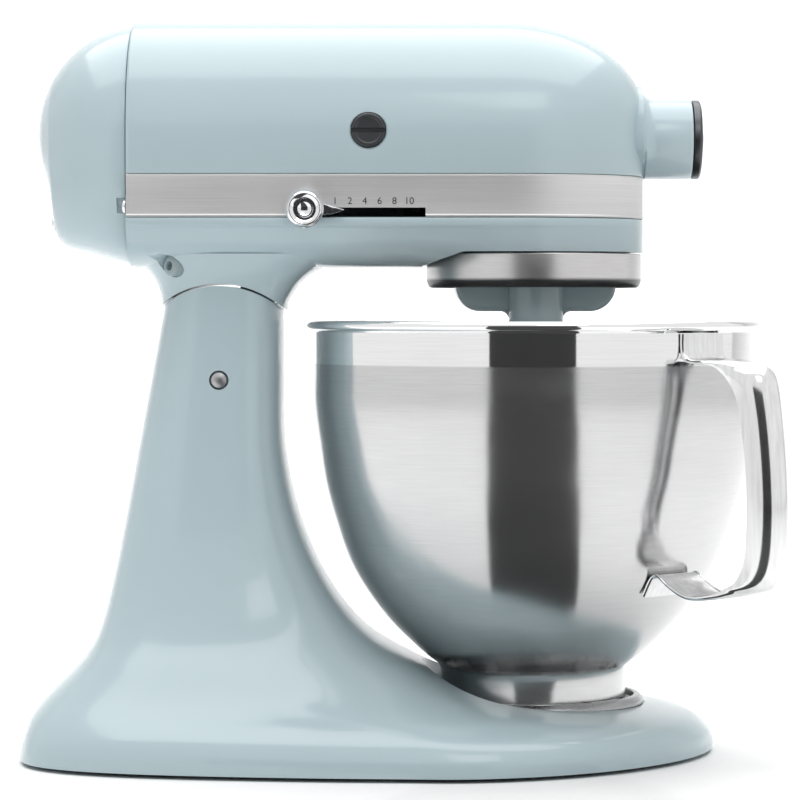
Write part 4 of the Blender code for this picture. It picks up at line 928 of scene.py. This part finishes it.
def planetary():
    at = (BOWL_X, 0, 0)
    cup = [(6.3, 225.3), (44.6, 225.3, 0.6), (46, 226.7, 0.6), (46, 243.4), (44, 243.4), (44, 227),
           (9.5, 227),
           (9.5, 242.6), (6.3, 242.6)]
    housing = make("planetary_casting", turned(fillet(cup, 0.3), 96, at=at))
    half, depth, bottom, top, corner, edge = 38.4, 24.0, 213.7, 226.2, 12.5, 2.2
    rings = []
    for k in range(14):
        turn = math.radians(90 * (k if k < 7 else 13 - k) / 6)
        inset = edge * (1 - math.sin(turn))
        y = (depth - edge + edge * math.cos(turn)) * (-1 if k < 7 else 1)
        bend = corner - inset
        wings = arc((-half + corner, bottom + corner), bend, 180, 270, 16)
        wings += arc((half - corner, bottom + corner), bend, 270, 360, 16)
        rings.append([(BOWL_X + u, y, min(v, top)) for u, v in wings])
    join(housing, make("wings", loft(rings)))
    boss = [(0, 196), (12.4, 196, 0.6), (13, 196.6, 0.6), (13, 226.1), (0, 226.1)]
    join(housing, make("boss", turned(fillet(boss, 0.3, 6), 96, at=(BOWL_X, -OFFSET, 0))))
    hollow = [(17.3 - 4.2 * math.sin(math.radians(a)), 209.5 + 4.25 * math.cos(math.radians(a)))
              for a in range(80, -1, -10)]
    flare = make("flare", turned([(0, 209.6), (13.05, 209.6)] + hollow + [(17.3, 214.4), (0, 214.4)], 96,
                                 at=(BOWL_X, -OFFSET, 0)))
    cut(flare, make("front", box((BOWL_X - 30, -60, 200), (BOWL_X + 30, 1.2 - depth, 220))))
    join(housing, flare)
    cut(housing, make("shaft_bore", rod(6.3, 190, 240, 48, at=(BOWL_X, -OFFSET, 0))))
    cut(housing, make("centre_bore", rod(6.3, 200, 260, 48, at=at)))
    finish_piece(housing, "body_paint", "planetary", ["planetary_housing"], 32)
    profile = [(46.4, 225, 0.2), (RING_R - 1.4, 225, 4.4), (RING_R, 228, 3.0), (RING_R, 241.2, 0.4),
               (RING_R - 1.6, 241.2, 0.3), (RING_R - 1.6, 229.6, 2.0), (48.8, 226.6, 1.0), (46.4, 226.6)]
    ring = make("drip_ring_spun", turned(fillet(profile, 0.3, 6), 160, at=at))
    finish_piece(ring, "ring_steel", "planetary", ["drip_ring"])


def agitator():
    at = (BOWL_X, -OFFSET, 0)
    profile = fillet([(0, 158), (6, 158), (6, 243.2), (0, 243.2)], 0.6)
    shaft = make("agitator_shaft_turned", turned(profile, 48, at=at))
    cut(shaft, make("pin_bore", rod(2.4, -12, 12, 24, "X", (BOWL_X, -OFFSET, 182))))
    finish_piece(shaft, "machined_steel", "agitator", ["agitator_shaft"])
    pin = make("agitator_pin_turned", turned(fillet([(0, -10.5), (2, -10.5), (2, 10.5), (0, 10.5)],
                                                    0.5), 32, "X",
                                             (BOWL_X, -OFFSET, 182)))
    finish_piece(pin, "machined_steel", "agitator", ["agitator_pin"])

    right = [(7, 158), (30, 154), (58, 146), (67, 136), (69, 124), (63, 104), (52.5, 82), (41, 67), (24, 57)]
    outline = fillet(right + [(0, 55.02), (0, 55.0)] + [(-u, v) for u, v in reversed(right)], 9, 8)
    beater = make("beater_casting", prism([(BOWL_X + u, v) for u, v in outline], -OFFSET - 4,
                                          -OFFSET + 4, "Y"))
    upper = [(5, 149), (29, 145), (53, 137), (59, 129), (60, 118), (5, 110)]
    lower = [(5, 101), (57, 109), (53.5, 100), (46, 85), (37, 73), (22, 65), (5, 64)]
    for window in (upper, lower):
        for side in (-1, 1):
            hole = prism([(BOWL_X + side * u, v) for u, v in fillet(window, 3.5, 6)], -OFFSET - 8,
                         -OFFSET + 8, "Y")
            cut(beater, make("window", hole))
    soften(beater, 1.8, 60, 4)
    collar = fillet([(0, 152), (9, 152), (12, 158, 3), (12, 188, 0.8), (0, 188)], 0.5, 5)
    join(beater, make("collar", turned(collar, 56, at=at)))
    cut(beater, make("bore", rod(6.3, 157.6, 190, 48, at=at)))
    slot = box((BOWL_X - 20, -OFFSET - 2.4, 179.6), (BOWL_X + 20, -OFFSET + 2.4, 190))
    cut(beater, make("slot", slot))
    finish_piece(beater, "beater_coating", "agitator", ["flat_beater"], 35)


# ---------------------------------------------------------------- bowl

BOWL_OUTSIDE = ((107.5, 203.8), (107.5, 186), (107.5, 168), (104.8, 146.3), (102.3, 130.7), (98.1, 115.1),
                (91.3, 95.6), (82.9, 80.1), (70.8, 64.5), (54.5, 48.9), (46.6, 42.8))


def bowl():
    outside = smooth(BOWL_OUTSIDE, 6)
    rim = arc((108.9, 206.9), 2.45, 150, -70, 14)
    rim = [(106.5, 204.6), (106.5, 206.0)] + rim[:-1] + [(108.6, 204.35)]
    foot = [(44.9, 34.8), (45, 25.1), (43.8, 25.1), (43.6, 34.8), (45.0, 41.4), (30, 42.2), (0, 43.2)]
    foot[:2] = [(45.4, 40.6), (44.8, 37.5), (44.75, 33), (44.9, 28), (45, 25.1)]
    inside = [(0, 44.4), (30, 43.6), (41, 43.6), (45.6, 44.6)]
    inside += [(r - BOWL_WALL, z + 0.6) for r, z in reversed(outside[6:-4])]
    vessel = make("bowl_spun", turned(rim + outside + foot + inside, 192, at=(BOWL_X, 0, 0)))
    for k in range(TABS):
        join(vessel, make("lug", sector(48.0, 44.3, 25.1, 26.3, 45 + 90 * k, LUG_FOOT_HALF)))
    finish_piece(vessel, "bowl_steel", "bowl", ["bowl"], 32)


HANDLE_PATH = (
    # radius and height of the crown line, radius and height of the free edges, half width
    (109.7, 203.4, 107.9, 203.4, 14.5), (109.7, 197.0, 107.9, 197.0, 14.5),
    (110.5, 193.6, 109.2, 192.3, 14.5),
    (113.0, 191.9, 112.5, 190.1, 14.5), (120.0, 191.6, 119.6, 189.5, 14.2),
    (129.0, 191.5, 124.5, 189.2, 13.2),
    (135.8, 191.0, 128.5, 186.9, 12.0), (142.3, 190.0, 131.8, 183.4, 11.0),
    (147.4, 187.2, 135.2, 178.6, 10.4),
    (150.4, 180.9, 137.7, 172.2, 10.0), (153.0, 166.3, 139.8, 161.4, 9.7), (155.2, 147.3, 141.9, 146.0, 9.6),
    (156.4, 128.4, 143.0, 128.4, 9.6), (156.3, 112.0, 142.8, 112.4, 9.6), (155.4, 100.5, 141.7, 102.0, 9.6),
    (153.4, 92.6, 139.5, 95.3, 9.8), (149.6, 87.9, 136.2, 90.4, 10.4), (142.8, 85.4, 131.4, 87.6, 11.2),
    (134.3, 83.6, 127.9, 85.6, 12.4), (126.5, 82.3, 123.8, 84.2, 13.6), (115.7, 81.2, 115.6, 83.0, 14.3),
    (108.0, 82.2, 108.7, 83.9, 14.5), (99.6, 86.2, 100.6, 87.7, 14.5), (94.6, 89.6, 95.2, 91.3, 14.5),
    (92.6, 90.2, 92.4, 92.0, 14.5), (90.4, 88.4, 89.0, 89.5, 14.5), (86.2, 80.8, 84.6, 81.6, 14.5),
)


def handle():
    """A pressed channel with a fully round crown; both ends flatten out against the bowl's wall."""
    sheet = 1.4
    turn = Matrix.Translation((BOWL_X, 0, 0)) @ Matrix.Rotation(HANDLE_ANGLE, 4, "Z")
    rings = []
    for radius, z, edge_radius, edge_z, half in smooth(HANDLE_PATH, 6):
        inward = Vector((edge_radius - radius, 0, edge_z - z))
        depth = inward.length
        bend = min(half - 0.2, depth - 0.2)
        small = max(bend - sheet, 0.05)
        lip = 0.3
        outer = [(half - lip, depth), (half - 0.08, depth - 0.06), (half, depth - 0.15)]
        outer += [(t, max(d, 0.0)) for t, d in arc((half - bend, bend), bend, 0, -90, 14)]
        inner = [(half - sheet + lip, depth), (half - sheet + 0.08, depth - 0.06),
                 (half - sheet, depth - 0.15)]
        inner += arc((half - sheet - small, sheet + small), small, 0, -90, 14)
        section = outer + [(-t, d) for t, d in reversed(outer)] + [(-t, d) for t, d in inner] + inner[::-1]
        rings.append([tuple(turn @ (Vector((radius - t * t / (2 * RIM_R), t, z)) + inward * (d / depth)))
                      for t, d in section])
    solid = make("handle_pressing", loft(rings))
    for t in (-7.0, 7.0):
        place = turn @ Matrix.Translation((109.7 - t * t / (2 * RIM_R), t, 199.4))
        low, high = Vector((-0.3, -0.35, -1.3)), Vector((0.6, 0.35, 1.3))
        dent = make("dent", moved(box(low, high), place))
        cut(solid, dent)
    finish_piece(solid, "handle_steel", "bowl", ["bowl_handle"], 35)


# ---------------------------------------------------------------- levers and hub

def speed_lever():
    face = -HEAD_HALF - 0.5
    knob = [(5.2, face - 1), (7.6, face - 0.6, 0.6), (9, face - 2.4, 1.0), (9, face - 6.4, 1.4),
            (7.4, face - 8.4, 0.7), (5.6, face - 7.6, 0.8), (3, face - 4.5, 1.5), (0, face - 4),
            (0, face - 1)]
    chrome = make("speed_knob_turned", turned(fillet(knob, 0.3, 5), 80, "Y", (LEVER_X, 0, LEVER_Z + 0.2)))
    wedge = [(LEVER_X + 6, 258.4), (LEVER_X + 13, 259.2), (LEVER_X + 19, 260.9), (LEVER_X + 13, 262.6),
             (LEVER_X + 6, 264.6)]
    pointer = make("wedge", prism(fillet(wedge, 1.0, 4), face - 5.2, face - 0.5, "Y"))
    soften(pointer, 0.7, 60, 3)
    join(chrome, pointer)
    finish_piece(chrome, "chrome", "speed_control", ["speed_knob"], 35)


def lock_lever():
    profile = [(0, 44), (1.6, 44), (1.6, 54.8), (4.4, 54.8, 0.3), (5.2, 55.6, 0.5), (5.2, 61, 0.5),
               (4.4, 62, 0.5),
               (0, 62)]
    lever = make("lock_lever_turned", turned(fillet(profile, 0.3), 48, "Y", (LOCK_X, 0, LOCK_Z)))
    join(lever, make("bolt", box((LOCK_X - 4, 40, LOCK_Z - 1), (LOCK_X + 4, 44.4, LOCK_Z + 3))))
    finish_piece(lever, "chrome", "head_lock", ["head_lock_lever"], 35)


def hub_parts():
    front = HUB_FRONT_X + GAP
    profile = [(0, 133.5), (13.5, 133.5), (13.7, 134), (13.7, front), (HUB_R - 0.1, front, 0.3),
               (HUB_R - 0.1, 144.6, 0.8), (18, 145.4, 0.6), (15.4, 145.7, 0.4), (14.6, 145.3, 0.4),
               (6.4, 146.1, 0.5),
               (5.2, 146.9, 0.5), (0, 147)]
    cover = make("hub_cover_spun", turned(fillet(profile, 0.2), 96, "X", (0, 0, HUB_Z)))
    finish_piece(cover, "dark_metal", "hub_plug", ["hub_cover"], 32)
    knob = [(0, 14.6), (3, 14.6), (3, 20.6), (8.6, 20.6, 0.6), (9.4, 21.6, 0.6), (9.4, 32.4, 0.8),
            (8.4, 33.6, 0.8),
            (0, 33.6)]
    screw = make("attachment_screw_moulded", turned(fillet(knob, 0.3), 72, "Y", (131, 0, HUB_Z)))
    for k in range(12):
        turn = math.radians(30 * k)
        flute = rod(1.5, 19, 36, 16, "Y", (131 + 10.4 * math.cos(turn), 0, HUB_Z + 10.4 * math.sin(turn)))
        cut(screw, make("flute", flute))
    finish_piece(screw, "black_plastic", "attachment_knob", ["attachment_screw"], 35)


def inner_parts():
    """CAD nodes that stay as they are get their slot's material."""
    slots = {s["node"]: s["material_slot"] for s in frame["record"]["subparts"]}
    for name, thing in frame["nodes"].items():
        thing.data.materials.clear()
        thing.data.materials.append(MATERIALS[slots[name] if slots[name] in MATERIALS else "machined_steel"])


# ---------------------------------------------------------------- camera, floor, light

def sheet(name, rows, colour):
    """A stage surface from rows of points."""
    across = len(rows[0])
    faces = [(k * across + i, k * across + i + 1, (k + 1) * across + i + 1, (k + 1) * across + i)
             for k in range(len(rows) - 1) for i in range(across - 1)]
    mesh = bpy.data.meshes.new(name)
    mesh.from_pydata([p for row in rows for p in row], [], faces)
    mesh.shade_smooth()
    thing = bpy.data.objects.new(name, mesh)
    bpy.context.scene.collection.objects.link(thing)
    g = Graph(name)
    fine = g.noise(60, detail=3)
    g.set(Base_Color=g.tint(fine, scaled(colour, 0.985), colour), Roughness=0.7)
    mesh.materials.append(g.material)
    return thing


def area_light(name, place, target, size, power_w, colour=(1, 1, 1)):
    light = bpy.data.lights.new(name, "AREA")
    light.shape = "RECTANGLE"
    light.size, light.size_y = size
    light.energy = power_w
    light.color = colour
    thing = bpy.data.objects.new(name, light)
    thing.location = place
    thing.rotation_euler = (Vector(target) - Vector(place)).to_track_quat("-Z", "Y").to_euler()
    bpy.context.scene.collection.objects.link(thing)
    return thing


def studio():
    camera_data = bpy.data.cameras.new("camera")
    camera_data.lens = 138.7
    camera_data.sensor_width = 36
    camera = bpy.data.objects.new("camera", camera_data)
    camera.location = (0, -1.5, 0.2168)
    camera.rotation_euler = (math.radians(90 - 1.77), 0, 0)
    bpy.context.scene.collection.objects.link(camera)
    bpy.context.scene.camera = camera
    profile = [(-3.0, 0.0), (-0.5, 0.0), (1.4, 0.0)]
    profile += [(1.4 + 1.0 * math.sin(math.radians(a)),
                 1.0 - 1.0 * math.cos(math.radians(a))) for a in range(5, 91, 5)]
    profile += [(2.4, 2.2)]
    sheet("backdrop", [[(-3.5, y, z), (3.5, y, z)] for y, z in profile], (0.91, 0.91, 0.91))
    near, left, right = -1.62, -0.66, 0.60
    dark = (0.012, 0.012, 0.012)
    flag = sheet("flag", [[(left, near, 0.001), (right, near, 0.001)],
                          [(left, near, 0.6), (right, near, 0.6)]], dark)
    mat = sheet("floor_flag", [[(left, near, 0.001), (right, near, 0.001)], [(0.02, -0.092, 0.001),
                                                                             (0.105, -0.092, 0.001)]], dark)
    for card in (flag, mat):
        for visible in ("visible_camera", "visible_diffuse", "visible_shadow", "visible_transmission"):
            setattr(card, visible, False)
    world = bpy.data.worlds.new("studio")
    bpy.context.scene.world = world
    world.use_nodes = True
    tree = world.node_tree
    background = tree.nodes["Background"]
    background.inputs["Color"].default_value = (1.0, 1.0, 1.0, 1)
    rays = tree.nodes.new("ShaderNodeLightPath")
    strength = tree.nodes.new("ShaderNodeMapRange")
    strength.inputs["To Min"].default_value = 0.95
    strength.inputs["To Max"].default_value = 0.45
    tree.links.new(rays.outputs["Is Diffuse Ray"], strength.inputs["Value"])
    tree.links.new(strength.outputs["Result"], background.inputs["Strength"])
    middle = (0, 0, 0.18)
    area_light("overhead", (0.0, 0.4, 2.4), (0, 0.4, 0), (3.4, 3.4), 92)
    area_light("key", (0.5, -1.9, 1.6), middle, (0.9, 0.7), 5)
    bpy.context.scene.view_settings.view_transform = "Standard"


studio()
inner_parts()
pedestal()
feet()
clamp_plate()
hinge_parts()
motor_housing()
gear_housing()
end_cover()
trim_band()
speed_numbers()
fasteners()
brush_caps()
planetary()
agitator()
bowl()
handle()
speed_lever()
lock_lever()
hub_parts()
